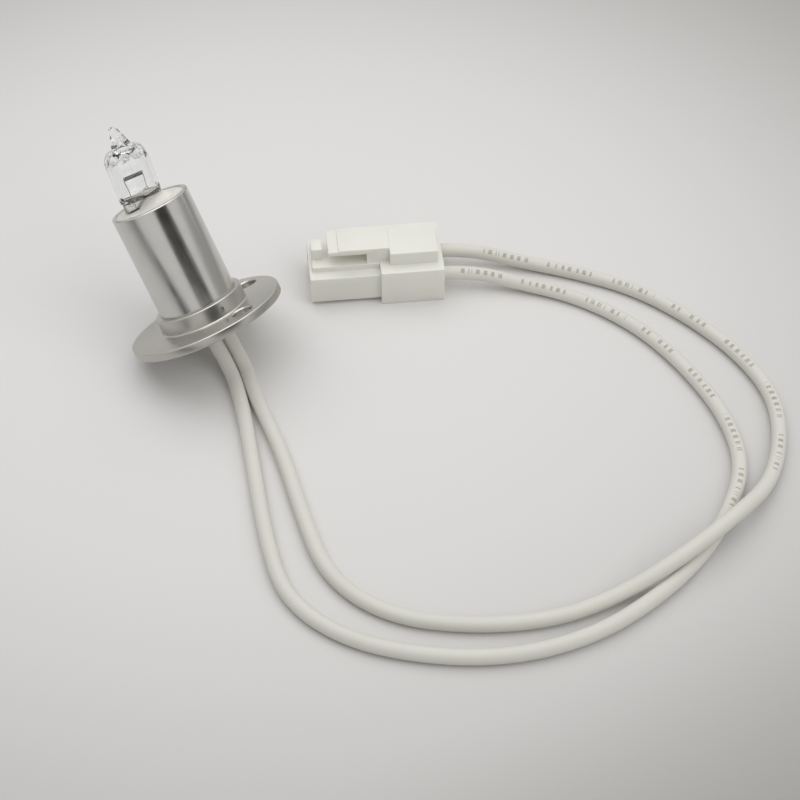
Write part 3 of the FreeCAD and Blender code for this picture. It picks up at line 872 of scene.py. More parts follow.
@dataclass
class Mounting:
    """Flange with its collar, the barrel that stands in it, the lock pin and the lead bush."""

    pose: Pose
    flange_r: float = 17.0
    flange_t: float = 1.9
    rim_r: float = 0.28
    collar_r: float = 9.7
    collar_h: float = 3.6
    seat_h: float = 0.9
    holes: tuple[float, ...] = (7.0, 187.0, 277.0)
    hole_circle: float = 12.9
    hole_r: tuple[float, ...] = (2.2, 2.2, 2.4)
    hole_edge: float = 0.25
    pin_clock: float = 176.0
    pin_h: float = 3.6
    pin_r: float = 0.5
    pin_depth: float = 1.95
    pin_reach: float = 4.0
    foot_ease: float = 0.4
    collar_ease: float = 0.3
    mouth_ease: float = 0.05
    barrel_r: float = 8.5
    barrel_top: float = 28.4
    barrel_ease: tuple[float, float] = (0.28, 0.12)
    wall: float = 1.0
    shoulder_h: float = 13.0
    shoulder_w: float = 0.8
    bush_r: float = 5.2
    bush_head_r: float = 6.2
    bush_head_t: float = 1.0
    bush_top: float = 3.0
    bush_ease: float = 0.25
    wire_r: float = 1.55
    wire_spacing: float = 3.8
    wire_clock: float = 77.0
    wire_slack: float = 0.02
    wire_flare: float = 0.8
    sides: int = 256

    def pin_bore(self) -> Patch:
        """Radial cylinder from inside the barrel's wall out past the collar.

        Returns:
            The closed cylinder, in the lamp's frame.
        """
        out = clock(self.pin_clock, 1.0)
        start = clock(self.pin_clock, self.collar_r - self.pin_depth, self.pin_h)
        path = start + np.linspace(0, self.pin_reach, 3)[:, None] * out
        return tube(path, self.pin_r, 32, (0, 0, 1))

    def hole_tool(self, angle: float, r: float) -> Patch:
        """Drill with a flare at both faces of the flange.

        Args:
            angle: the hole's place round the lamp, in degrees.
            r: its radius.

        Returns:
            The closed drill, in the lamp's frame.
        """
        e, t = self.hole_edge, self.flange_t
        flare = r + e + CLEAR
        profile = [(0, -CLEAR), (flare, -CLEAR), (r, e), (r, t - e), (flare, t + CLEAR), (0, t + CLEAR)]
        part = lathe(np.array(profile), 64)
        return part.placed(Pose(np.eye(3), clock(angle, self.hole_circle)))

    def flange(self, finish: Metal) -> bpy.types.Object:
        """Disc and collar as one turning, drilled, its corners eased.

        Args:
            finish: the metal.

        Returns:
            The piece.
        """
        top = self.flange_t + self.collar_h
        profile = eased([
            (self.bush_r, 0, self.mouth_ease), (self.flange_r, 0, self.rim_r),
            (self.flange_r, self.flange_t, self.rim_r), (self.collar_r, self.flange_t, self.foot_ease),
            (self.collar_r, top, self.collar_ease), (self.barrel_r, top, self.mouth_ease),
            (self.barrel_r, self.seat_h, 0.0), (self.bush_r, self.seat_h, 0.0),
        ])
        piece = put("flange_turned", mesh_of("flange_turned", [lathe(profile, self.sides, close=True)]))
        carve(piece, [self.hole_tool(a, r) for a, r in zip(self.holes, self.hole_r)] + [self.pin_bore()])
        return self._seat(piece, finish, "flange_metal", "flange")

    def _seat(self, piece: bpy.types.Object, finish: Metal | Cast, slot: str,
              *nodes: str) -> bpy.types.Object:
        """Turns a piece made in the lamp's frame into place, and dresses it.

        Args:
            piece: the piece.
            finish: its finish.
            slot: its material slot.
            nodes: the solids that it stands for.

        Returns:
            The piece.
        """
        carry(piece.data, self.pose)
        soften(piece.data)
        return fit_on(piece, finish.dress(), slot, *nodes)

    def barrel(self, finish: Metal) -> bpy.types.Object:
        """Tube with an eased rim and the ledge inside.

        Args:
            finish: the metal.

        Returns:
            The piece.
        """
        bore, low_bore = self.barrel_r - self.wall, self.barrel_r - self.wall - self.shoulder_w
        outer_ease, inner_ease = self.barrel_ease
        profile = eased([
            (low_bore, self.seat_h, 0.0), (self.barrel_r, self.seat_h, 0.0),
            (self.barrel_r, self.barrel_top, outer_ease), (bore, self.barrel_top, inner_ease),
            (bore, self.shoulder_h, 0.0), (low_bore, self.shoulder_h, 0.0),
        ], 6)
        piece = put("barrel_tube", mesh_of("barrel_tube", [lathe(profile, self.sides, close=True)]))
        carve(piece, [self.pin_bore()])
        return self._seat(piece, finish, "barrel_metal", "barrel")

    def bush(self, finish: Cast) -> bpy.types.Object:
        """Headed bush under the flange, with a flared hole for each lead.

        Args:
            finish: the moulding material.

        Returns:
            The piece.
        """
        low, high = -self.bush_head_t, self.bush_top + CLEAR
        profile = [(0, low), *eased([
            (self.bush_head_r, low, self.bush_ease), (self.bush_head_r, 0, self.mouth_ease),
            (self.bush_r, 0, 0.0), (self.bush_r, self.bush_top, 0.1)]), (0, self.bush_top)]
        piece = put("lead_bush", mesh_of("lead_bush", [lathe(np.array([tuple(p) for p in profile]), 96)]))
        r = self.wire_r + self.wire_slack
        drill = lathe(np.array([(0, low - CLEAR), (r + self.wire_flare, low - CLEAR), (r, low + 0.3),
                                (r, high), (0, high)]), 48)
        carve(piece, [drill.placed(Pose(np.eye(3), clock(angle, self.wire_spacing / 2)))
                      for angle in (self.wire_clock, self.wire_clock + 180)])
        return self._seat(piece, finish, "bush", "wire_bush")


@dataclass
class Capsule:
    """Quartz bulb with its pinch seal, coil and inner leads; heights run up its own axis from the rim."""

    lamp: Pose
    rim_h: float = 28.4
    tilt: float = 5.0
    tilt_clock: float = 243.5
    offset: float = 1.1
    pinch_clock: float = 77.0
    radius: float = 4.55
    wall: float = 0.85
    bottom: float = 1.6
    full: float = 3.2
    shoulder: float = 10.2
    dome: float = 12.9
    nipple_r: float = 2.25
    tip: float = 17.3
    tip_r: float = 0.75
    tip_lean: float = 0.6
    pinch_half: tuple[float, float] = (4.1, 1.6)
    pinch_bottom: float = -5.4
    pinch_power: float = 5.0
    throat: float = 0.5
    lump: tuple[float, float] = (0.022, 0.12)
    coil_h: float = 6.5
    coil_length: float = 4.2
    coil_r: float = 0.335
    coil_wire: float = 0.105
    coil_turns: int = 16
    turn_points: int = 22
    plane_y: float = 0.21
    lead_r: float = 0.1
    lead_bends: tuple[float, float] = (2.2, 1.0)
    lead_tail: float = 0.75
    lead_x: float = 1.95
    lead_low: float = -1.2
    lead_out: float = 0.02
    foil_x: float = 2.2
    foil_half: float = 0.95
    foil_thick: float = 0.045
    foil_span: tuple[float, float] = (-4.2, 0.0)
    skin_sides: int = 128
    gas_sides: int = 160

    def pose(self) -> Pose:
        """Where the capsule stands.

        Returns:
            Its frame in the frame of the solids, with x across the pinch and z up its own axis.
        """
        lean = clock(self.tilt_clock, 1.0)
        turn = turn_about(np.cross((0, 0, 1), lean), self.tilt) @ turn_about((0, 0, 1), self.pinch_clock + 90)
        base = clock(self.tilt_clock, -self.offset, self.rim_h)
        return Pose(turn, base).within(self.lamp)

    def bulb_radius(self, h: Array) -> Array:
        """Outer radius by height: straight wall, round shoulder, then a hollow cone to the drawn tip.

        Args:
            h: heights above the rim.

        Returns:
            The radii.  The shoulder is a root of 1 - s^2.2, the cone a power of the way up, and the
            tip a quarter circle.
        """
        s = np.clip((h - self.shoulder) / (self.dome - self.shoulder), 0, 1)
        shoulder = self.nipple_r + (self.radius - self.nipple_r) * np.sqrt(1 - s ** 2.2) ** 1.15
        c = np.clip((h - self.dome) / (self.tip - self.dome), 0, 1)
        cone = self.nipple_r + (self.tip_r - self.nipple_r) * (c ** 0.82)
        tip = np.sqrt(np.clip(1 - np.clip((h - self.tip + self.tip_r) / self.tip_r, 0, 1) ** 2, 0, 1))
        return np.where(h < self.dome, shoulder, cone * tip)

    def outside(self) -> Patch:
        """Skin: pinch slab, a quarter-ellipse spread to the bulb, then the bulb's own profile.

        Returns:
            The closed skin, in the capsule's frame.
        """
        foot = self.pinch_bottom
        slab = np.array([foot, foot, foot + 0.12, foot + 0.4, -3.0, -1.0, 0.6,
                         self.bottom - 0.25, self.bottom])
        shrink = np.array([0.0, 0.93, 0.98, 1, 1, 1, 1, 1, 1])
        spread = self.full - (self.full - self.bottom) * np.cos(np.linspace(0.05, 1, 14) * np.pi / 2)
        rise = np.concatenate([
            np.linspace(self.full + 0.4, self.shoulder, 8), np.linspace(self.shoulder + 0.15, self.dome, 20),
            np.linspace(self.dome + 0.15, self.tip - self.tip_r, 14),
            self.tip - self.tip_r + self.tip_r * np.sin(np.linspace(0.1, 1, 9) * np.pi / 2)])
        s = np.sqrt(np.clip(1 - ((self.full - spread) / (self.full - self.bottom)) ** 2, 0, 1))
        a0, b0 = self.pinch_half
        a = np.concatenate([a0 * shrink, a0 + (self.radius - a0) * s, self.bulb_radius(rise)])
        b = np.concatenate([b0 * shrink, b0 + (self.radius - b0) * s, self.bulb_radius(rise)])
        power = np.concatenate([np.full(len(slab), self.pinch_power),
                                2 + (self.pinch_power - 2) * (1 - s) ** 1.5, np.full(len(rise), 2.0)])
        h = np.concatenate([slab, spread, rise])
        ring = superellipse(a, b, power, self.skin_sides)
        lean = np.clip((h - self.dome) / (self.tip - self.dome), 0, 1) ** 2 * self.tip_lean
        grid = np.concatenate([ring, np.repeat(h[:, None, None], self.skin_sides, 1)], axis=2)
        grid[:, :, 0] += lean[:, None]
        return grid_patch(grid)

    def inside(self) -> Patch:
        """Gas space: a flat throat in the pinch, the bulb, and a channel up the tip.

        Toward the dome the wall is thicker and lumpy, as the flame left it: the points move out and in
        by a sum of sines of their place, times the share of the way from the straight wall to the top.

        Returns:
            The closed inner skin in the capsule's frame, its faces turned toward the axis.
        """
        sides = self.gas_sides
        r, a0, b0 = self.radius - self.wall, self.pinch_half[0] - self.wall, self.throat
        low, high = self.bottom + self.wall, self.full + 0.6 * self.wall
        turn = np.linspace(0.06, 1, 14) * np.pi / 2
        climb, size = np.sin(turn), np.array([0.0, 0.8, 0.97, 1.0, 1.0])
        foot = superellipse(np.append(a0 * size, a0 + (r - a0) * climb),
                            np.append(b0 * size, b0 + (r - b0) * climb),
                            np.append(np.full(5, 3.0), 2 + np.cos(turn)), sides)
        depth = np.append(low - np.array([0.95, 0.93, 0.8, 0.6, 0.2]), high - (high - low) * np.cos(turn))
        foot = np.concatenate([foot, np.repeat(depth[:, None, None], sides, 1)], axis=2)
        s = np.linspace(0.04, 1, 16)
        neck = self.nipple_r - self.wall
        start, top = self.shoulder - 0.8, self.dome - self.wall - 0.5
        cap = np.stack([neck + (r - neck) * np.sqrt(1 - s ** 2.6), start + (top - start) * s], axis=1)
        channel = np.array([(neck * 0.72, top + 0.6), (neck * 0.42, top + 1.5), (0.28, top + 2.4),
                            (0.2, top + 3.4), (0.0, top + 3.6)])
        wall = np.stack([np.full(8, r), np.linspace(high + 0.4, start, 8)], axis=1)
        above = lathe(np.concatenate([wall, cap, channel]), sides).points.reshape(-1, sides, 3)
        patch = grid_patch(np.concatenate([foot, above]))
        x, y, h = patch.points.T
        share = np.clip((h - start + 0.4) / 1.2, 0, 1) * np.clip(np.hypot(x, y) / neck, 0, 1)
        lumps = np.sin(2.1 * x + 1.7 * h) * np.cos(1.9 * y - 0.8 * h)
        lumps += 0.5 * np.sin(3.1 * y + 2.3 * x + 2.7 * h)
        lumps += 0.3 * np.sin(5.3 * x - 4.9 * h + 0.7) * np.sin(4.6 * y + 3.7 * h)
        aside, upward = self.lump
        patch.points[:, :2] *= (1 + aside * share * lumps)[:, None]
        patch.points[:, 2] += upward * share * lumps
        return patch.flipped()

    def glass(self, finish: Quartz) -> bpy.types.Object:
        """The envelope as one closed skin outside and one inside.

        Args:
            finish: the quartz.

        Returns:
            The piece.
        """
        pose = self.pose()
        mesh = mesh_of("quartz_envelope", [self.outside().placed(pose), self.inside().placed(pose)])
        soften(mesh, 50)
        return fit_on(put("quartz_envelope", mesh), finish.dress(), "quartz", "capsule")

    def coil(self, finish: Metal) -> bpy.types.Object:
        """Close single coil: a circle drawn out along x.

        Args:
            finish: the tungsten.

        Returns:
            The piece.
        """
        t = np.linspace(0, self.coil_turns * 2 * np.pi, self.coil_turns * self.turn_points)
        x = np.linspace(-self.coil_length / 2, self.coil_length / 2, len(t))
        y = self.plane_y + self.coil_r * np.cos(t)
        path = np.stack([x, y, self.coil_h + self.coil_r * np.sin(t)], axis=1)
        patch = tube(path, self.coil_wire, 8, (1, 0, 0)).placed(self.pose())
        mesh = mesh_of("coil", [patch])
        soften(mesh, 60)
        return fit_on(put("coil", mesh), finish.dress(), "tungsten", "filament")

    def lead(self, side: int, finish: Metal) -> bpy.types.Object:
        """Wire from the foil straight up to the coil's end and over into its end turns.

        Args:
            side: 1 for the left wire, -1 for the right one.
            finish: the metal.

        Returns:
            The piece.
        """
        y, top = self.plane_y, self.coil_h
        x, out = side * self.lead_x, side * (self.coil_length / 2 + self.lead_out)
        end = side * (self.coil_length / 2 - self.lead_tail)
        low_bend, high_bend = self.lead_bends
        path = smooth_run(np.array([(x, y, self.lead_low), (x, y, top - low_bend), (out, y, top - high_bend),
                                    (out, y, top), (end, y, top)]), 60)
        patch = tube(path, self.lead_r, 12, (0, 1, 0)).placed(self.pose())
        name = "inner_lead_" + ("left" if side > 0 else "right")
        mesh = mesh_of(name + "_wire", [patch])
        soften(mesh, 60)
        return fit_on(put(name + "_wire", mesh), finish.dress(), "molybdenum", name)

    def foil(self, side: int, finish: Metal) -> bpy.types.Object:
        """Sealing foil, a thin lens-shaped strip with a slight wave.

        Args:
            side: 1 for the left foil, -1 for the right one.
            finish: the metal.

        Returns:
            The piece.
        """
        low, high = self.foil_span
        across, up = np.meshgrid(np.linspace(-1, 1, 17), np.linspace(low, high, 30))
        x = side * self.foil_x + across * self.foil_half
        wave = 0.04 * np.sin(2.4 * up) + 0.02 * np.sin(5.1 * x + up)
        half = self.foil_thick * np.sqrt(np.clip(1 - across ** 2, 0, 1))
        front = np.stack([x, wave + half, up], axis=2)
        back = np.stack([x, wave - half, up], axis=2)[:, ::-1]
        patch = grid_patch(np.concatenate([front, back], axis=1)).placed(self.pose())
        name = "foil_" + ("left" if side > 0 else "right")
        mesh = mesh_of(name + "_strip", [patch])
        soften(mesh, 60)
        return fit_on(put(name + "_strip", mesh), finish.dress(), "foil", name)


def smooth_run(corners: Array, count: int) -> Array:
    """Rounds each corner of a chain with a quadratic turn: (1-s)^2 p + 2 s (1-s) b + s^2 q.

    Args:
        corners: the chain's points (n, 3).
        count: points of the result.

    Returns:
        Points (count, 3), evenly spaced by length.
    """
    pieces = [corners[:1]]
    s = np.linspace(0, 1, 12)[:, None]
    share = 0.45
    for a, b, c in zip(corners[:-2], corners[1:-1], corners[2:]):
        reach = share * min(np.linalg.norm(b - a), np.linalg.norm(c - b))
        p, q = b + unit(a - b) * reach, b + unit(c - b) * reach
        pieces.append((1 - s) ** 2 * p + 2 * s * (1 - s) * b + s ** 2 * q)
    pieces.append(corners[-1:])
    return resampled(np.concatenate(pieces), count)


def resampled(run: Array, count: int) -> Array:
    """The same line through evenly spaced points.

    Args:
        run: its points (n, 3).
        count: how many points it gets.

    Returns:
        Points (count, 3).
    """
    reach = run_length(run)
    at = np.linspace(0, reach[-1], count)
    return np.stack([np.interp(at, reach, run[:, k]) for k in range(3)], axis=1)


@dataclass
class Potting:
    """Cement that fills the mouth of the barrel round the pinch seal."""

    lamp: Pose
    capsule: Capsule
    bore: float = 7.5
    rim_h: float = 28.4
    drop: float = 0.25
    depth: float = 1.25
    mound_x: float = -2.1
    mound_r: float = 4.3
    mound_h: float = 2.0
    creep: tuple[float, float] = (0.30, 0.14)
    rows: int = 40
    columns: int = 160

    def face(self, finish: Cast) -> bpy.types.Object:
        """Height field from the seal's outline to the bore.

        Height is the level face, plus the higher of a bead against one half of the seal and a climb at
        the bore and the glass that fades as an exponential, plus a sum of slow sines.

        Args:
            finish: the cement.

        Returns:
            The piece.
        """
        rows, columns = self.rows, self.columns
        outline = (*self.capsule.pinch_half, self.capsule.pinch_power)
        seal = superellipse(*(np.array([v]) for v in outline), columns)[0]
        inner = np.concatenate([seal * 0.97, np.zeros((columns, 1))], axis=1)
        own = self.capsule.pose()
        to_lamp = Pose(self.lamp.turn.T @ own.turn, (own.at - self.lamp.at) @ self.lamp.turn)
        inner = to_lamp.place(inner)
        angle = np.arctan2(inner[:, 1], inner[:, 0])
        outer = np.stack([self.bore * np.cos(angle), self.bore * np.sin(angle), np.zeros(columns)], axis=1)
        t = np.linspace(0, 1, rows)[:, None, None]
        grid = (1 - t) * inner + t * outer
        centre = to_lamp.place(np.array([self.mound_x, 0, 0]))
        away = np.hypot(grid[..., 0] - centre[0], grid[..., 1] - centre[1]) / self.mound_r
        bead = self.mound_h * np.clip(1 - away ** 2, 0, 1) ** 0.9
        x, y = grid[..., 0], grid[..., 1]
        slow = 0.05 * np.sin(1.3 * x + 0.6) * np.cos(1.1 * y) + 0.03 * np.sin(2.9 * x - 2.2 * y)
        at_seal, at_bore = self.creep
        way = t[..., 0]
        near = np.exp(-way * 14) * at_seal + np.exp(-(1 - way) * 16) * at_bore
        level = self.rim_h - self.drop
        grid[..., 2] = level + np.maximum(bead, near) + slow * np.clip(4 * way * (1 - way), 0, 1)
        grid[-1, :, 2] = level
        foot, under = grid[-1:].copy(), grid[:1].copy()
        foot[..., 2] = under[..., 2] = level - self.depth
        skin = np.concatenate([under, grid, foot])
        patch = grid_patch(skin, close_rows=True).flipped().placed(self.lamp)
        mesh = mesh_of("cement_face", [patch])
        soften(mesh, 60)
        return fit_on(put("cement_face", mesh), finish.dress(), "cement", "cement")


@dataclass
class Plug:
    """Two-circuit plug in its own frame: x forward from the rear face, z up from the table."""

    pose: Pose
    rear: tuple[float, float, float] = (14.0, 16.2, 9.0)
    front: float = 15.6
    inset: float = 1.3
    base: float = 0.9
    top: float = 7.5
    spine: tuple[float, float] = (8.6, 8.8)
    back_w: float = 10.8
    back: tuple[float, float, float] = (1.2, 11.8, 12.2)
    groove: tuple[float, float] = (2.4, 0.9)
    latch_w: float = 7.6
    latch_top: float = 12.7
    latch_t: float = 1.4
    latch_step: tuple[float, float] = (2.3, 0.3)
    setback: float = 4.3
    web: float = 2.8
    stop: tuple[float, float, float] = (3.0, 3.4, 11.7)
    lead_in: float = 0.7
    pitch: float = 7.5
    axis_z: float = 4.3
    cavity: tuple[float, float, float] = (5.0, 5.0, 5.0)
    overlap: float = 1.0
    edge_r: float = 0.4
    wire_r: float = 1.55
    wire_slack: float = 0.1

    def housing(self, finish: Nylon) -> bpy.types.Object:
        """Rear block, front block, raised back and latch lever, bored for the wires.

        Args:
            finish: the nylon.

        Returns:
            The piece.
        """
        length, width, height = self.rear
        end, half, lap = length + self.front, width / 2, self.overlap
        block = CellBlock()
        block.add(0, length, -half, half, 0, height)
        block.add(length - lap, end, self.inset - half, half - self.inset, self.base, self.top)
        x0, x1, z1 = self.back
        bw, lw = self.back_w / 2, self.latch_w / 2
        groove_w, groove_d = self.groove
        block.add(x0, x1, -bw, bw, height - lap, z1)
        block.cut(x0 - lap, x1, -bw - lap, -bw + groove_w, z1 - groove_d, z1 + lap)
        spine_w, spine_top = self.spine
        block.add(length - lap, end - self.lead_in, -spine_w / 2, spine_w / 2, self.top - lap, spine_top)
        under, tip = self.latch_top - self.latch_t, end - self.setback
        step_l, step_d = self.latch_step
        block.add(x1, tip, -lw, lw, under, self.latch_top)
        block.add(x1, length + self.web, -lw, lw, spine_top - lap, self.latch_top)
        block.cut(tip - step_l, tip, -lw, lw, self.latch_top - step_d, self.latch_top)
        long, wide, high = self.stop
        block.add(end - long, end - self.lead_in, -wide / 2, wide / 2, spine_top - lap, high)
        cw, ch, cx = self.cavity
        circuits = (-self.pitch / 2, self.pitch / 2)
        for y in circuits:
            block.cut(cx, end + lap, y - cw / 2, y + cw / 2, self.axis_z - ch / 2, self.axis_z + ch / 2)
        piece = put("plug_moulding", mesh_of("plug_moulding", [block.patch()], flat=True))
        round_edges(piece, self.edge_r, 4)
        bake_modifiers(piece)
        bore = self.wire_r + self.wire_slack
        runs = [np.array([(x, y, self.axis_z) for x in (-lap, 2.0, cx + lap)]) for y in circuits]
        carve(piece, [tube(run, bore, 40, (0, 0, 1)) for run in runs])
        carry(piece.data, self.pose)
        soften(piece.data, 30)
        return fit_on(piece, finish.dress(), "nylon", "plug_housing")


@dataclass
class Lead:
    """One insulated lead, laid along its route on the table."""

    name: str
    route: Sequence[tuple[float, float, float]]
    length: float
    exit: tuple[float, float, float]
    diameter: float = 3.1
    tick_side: tuple[float, float, float] = (-0.34, -0.34, 0.88)
    samples: int = 560
    sides: int = 28

    def centreline(self) -> Array:
        """Points read from the route's own smooth spline, of order 3 and clamped at its ends.

        Returns:
            Evenly spaced points (samples, 3), in millimetres.
        """
        curve = bpy.data.curves.new(self.name + "_line", "CURVE")
        curve.dimensions, curve.resolution_u = "3D", 16
        spline = curve.splines.new("NURBS")
        spline.points.add(len(self.route) - 1)
        for point, (x, y, z) in zip(spline.points, self.route):
            point.co = (x, y, z, 1.0)
        spline.order_u, spline.use_endpoint_u = 3, True
        holder = bpy.data.objects.new(self.name + "_line", curve)
        line = bpy.data.meshes.new_from_object(holder)
        points = np.empty(len(line.vertices) * 3)
        line.vertices.foreach_get("co", points)
        for block, stock in ((line, bpy.data.meshes), (holder, bpy.data.objects), (curve, bpy.data.curves)):
            stock.remove(block)
        return resampled(points.reshape(-1, 3) / MM, self.samples)

    def lay(self, finish: Jacket, slot: str, node: str) -> bpy.types.Object:
        """The jacket as a tube along the centreline.

        Args:
            finish: the insulation.
            slot: its material slot.
            node: the solid that it stands for.

        Returns:
            The piece.
        """
        line = self.centreline()
        patch = tube(line, self.diameter / 2, self.sides, self.tick_side)
        mesh = mesh_of(self.name, [patch])
        soften(mesh, 60)
        piece = fit_on(put(self.name, mesh), finish.dress(), slot, node)
        return piece


# ---------------------------------------------------------------- the studio

@dataclass
class Studio:
    """Camera, lamps, table and the dark cards that the polished metal mirrors.

    The eye and the cards are in millimetres; the table's patches are metres along its own turned axes.
    """

    eye: tuple[float, float, float] = (-151.4, -209.6, 253.5)
    down: float = 47.0
    heading: tuple[float, float] = (0.7173, 0.6968)
    focal: float = 73.96
    sensor: float = 36.0
    table_half: float = 3000.0
    table_turn: float = 44.2
    # The table's colour holds a painted pool of light: pale in the middle, fading to a dark painted shade
    # toward the edges and past a line across the right front corner.
    table_pale: Colour = (0.738, 0.72, 0.703)
    table_painted_shade: Colour = (0.20, 0.197, 0.18)
    bright_at: tuple[float, float] = (0.0145, 0.016)
    bright_reach: tuple[float, float] = (0.17, 0.157)
    bright_fall: float = 1.93
    shade_corner_line: tuple[float, float] = (1.86, 0.2285)
    shade_corner_reach: float = 0.0863
    card_foot: tuple[float, float] = (160.0, 192.0)
    card_warmth: float = 0.97
    sky: Colour = (0.97, 0.985, 1.0)
    sky_strength: float = 0.45
    mirrored: Colour = (0.78, 0.775, 0.76)

    def camera(self) -> None:
        """Level camera at the photograph's viewing angle."""
        a = np.radians(self.down)
        forward = np.array([self.heading[0] * np.cos(a), self.heading[1] * np.cos(a), -np.sin(a)])
        right = unit(np.cross(forward, (0, 0, 1)))
        up = np.cross(right, forward)
        view = np.eye(4)
        view[:3, 0], view[:3, 1], view[:3, 2], view[:3, 3] = right, up, -forward, np.array(self.eye) * MM
        data = bpy.data.cameras.new("camera")
        data.lens, data.sensor_width, data.clip_start = self.focal, self.sensor, 0.005
        data.dof.use_dof = False
        holder = bpy.data.objects.new("camera", data)
        holder.matrix_world = Matrix(view.tolist())
        bpy.context.scene.collection.objects.link(holder)
        bpy.context.scene.camera = holder

    def table(self) -> None:
        """Pale sheet under the lamp, with a pool of light painted into its colour, brightest a little behind
        the middle.

        The painted light fades into painted shade as 1 / (1 + d^1.93 + p^2): d is the squared distance from
        the brightest place in an ellipse, and p how far a point lies past a line across the corner at the
        right front.
        """
        graph = Graph(bpy.data.materials.new("table_painted_light"))
        place = graph.place()
        turn = graph.node("ShaderNodeMapping", {"vector_type": "POINT"},
                          {"Vector": place, "Rotation": (0.0, 0.0, float(np.radians(self.table_turn)))})
        across, along, _ = graph.split(turn)
        (x, y), (reach_x, reach_y) = self.bright_at, self.bright_reach
        away = ((across - x) / reach_x) ** 2.0 + ((along - y) / reach_y) ** 2.0
        slope, start = self.shade_corner_line
        corner = (across - along * slope - start) / self.shade_corner_reach
        past = (corner + abs(corner)) * 0.5
        # Painted light and shade: the colour is brightest at the pool and darkens away from it and past the
        # corner line.
        painted_light_pool = 1.0 / (1.0 + away ** self.bright_fall + past * past)
        tone = graph.blend(self.table_painted_shade, self.table_pale, painted_light_pool)
        graph.surface(Base_Color=tone, Roughness=0.7)
        side = np.linspace(-self.table_half, self.table_half, 3)
        x, y = np.meshgrid(side, side)
        grid = np.stack([x, y, np.zeros_like(x)], axis=2)
        piece = put("table", mesh_of("table", [grid_patch(grid, close_columns=False)]))
        piece.data.materials.append(graph.owner)

    def card(self, name: str, centre: Sequence[float], size: tuple[float, float], tone: float,
             foot: float | None = None) -> None:
        """Upright card that only reflections see, facing the lamp.

        Args:
            name: the card's name.
            centre: its middle, in millimetres.
            size: its width and height.
            tone: how bright it is, from 0 to 1.
            foot: how bright it is near the table, where that differs.
        """
        graph = Graph(bpy.data.materials.new(name))
        dim, warmth = tone if foot is None else foot, self.card_warmth
        height = graph.split(graph.place())[2]
        low, high = self.card_foot
        share = graph.node("ShaderNodeMapRange", {"clamp": True},
                           {"Value": height, "From Min": low * MM, "From Max": high * MM})
        colour = graph.blend((dim, dim, dim * warmth), (tone, tone, tone * warmth), share)
        glow = graph.node("ShaderNodeEmission", None, {"Color": colour, "Strength": 1.0})
        graph.node("ShaderNodeOutputMaterial", None, {"Surface": glow})
        centre = np.asarray(centre, float)
        inward = unit((-centre[0], -centre[1], 0))
        across = np.cross((0, 0, 1), inward)
        s, t = np.meshgrid((-0.5, 0.5), (-0.5, 0.5))
        grid = centre + s[..., None] * size[0] * across + t[..., None] * size[1] * np.array([0, 0, 1])
        piece = put(name, mesh_of(name, [grid_patch(grid, close_columns=False)]))
        piece.data.materials.append(graph.owner)
        piece.visible_camera = piece.visible_diffuse = piece.visible_shadow = False
        piece.visible_transmission = False

    def softbox(self, name: str, at: Sequence[float], aim: Sequence[float], size: float, power: float,
                mirrored: bool = True) -> None:
        """Square white area lamp.

        Args:
            name: its name.
            at: where it hangs, in metres.
            aim: the point that it faces.
            size: its side, in metres.
            power: its watts.
            mirrored: whether metal and glass show it.
        """
        data = bpy.data.lights.new(name, "AREA")
        data.shape, data.size, data.energy = "SQUARE", size, power
        holder = bpy.data.objects.new(name, data)
        holder.visible_glossy = mirrored
        holder.location = at
        holder.rotation_euler = (Vector(aim) - Vector(at)).to_track_quat("-Z", "Y").to_euler()
        bpy.context.scene.collection.objects.link(holder)

    def world(self) -> None:
        """Pale surround: dimmer as a light than as what the lens, the metal and the glass see."""
        world = bpy.data.worlds.new("surround")
        bpy.context.scene.world = world
        graph = Graph(world)
        seen = graph.node("ShaderNodeLightPath", None, None, "Is Camera Ray")
        glossy = graph.node("ShaderNodeLightPath", None, None, "Is Glossy Ray")
        through = graph.node("ShaderNodeLightPath", None, None, "Is Transmission Ray")
        direct = graph.node("ShaderNodeMath", {"operation": "MAXIMUM"}, {0: seen, 1: glossy})
        direct = graph.node("ShaderNodeMath", {"operation": "MAXIMUM"}, {0: direct, 1: through})
        light = graph.node("ShaderNodeBackground", None, {"Color": self.sky, "Strength": self.sky_strength})
        shown = graph.node("ShaderNodeBackground", None, {"Color": self.mirrored, "Strength": 1.0})
        mixed = graph.node("ShaderNodeMixShader", None, {0: direct, 1: light, 2: shown})
        graph.node("ShaderNodeOutputWorld", None, {"Surface": mixed})

    def build(self) -> None:
        """Sets up everything that isn't the lamp."""
        self.camera()
        self.table()
        self.world()
        self.softbox("key", (0.06, 0.18, 0.62), (0.0, 0.0, 0.0), 0.8, 2.5)
        self.softbox("fill", (0.10, -0.53, 0.55), (0.02, -0.04, 0.0), 0.6, 1.5, mirrored=False)
        self.card("card_lens", (-60.0, -487.0, 335.0), (388.0, 450.0), 0.02, 0.52)
        self.card("card_left", (-152.0, -70.0, 14.0), (75.0, 28.0), 0.0)
        self.card("card_right", (355.0, -277.0, 78.0), (330.0, 150.0), 0.40)
        bpy.context.scene.view_settings.view_transform = "Standard"
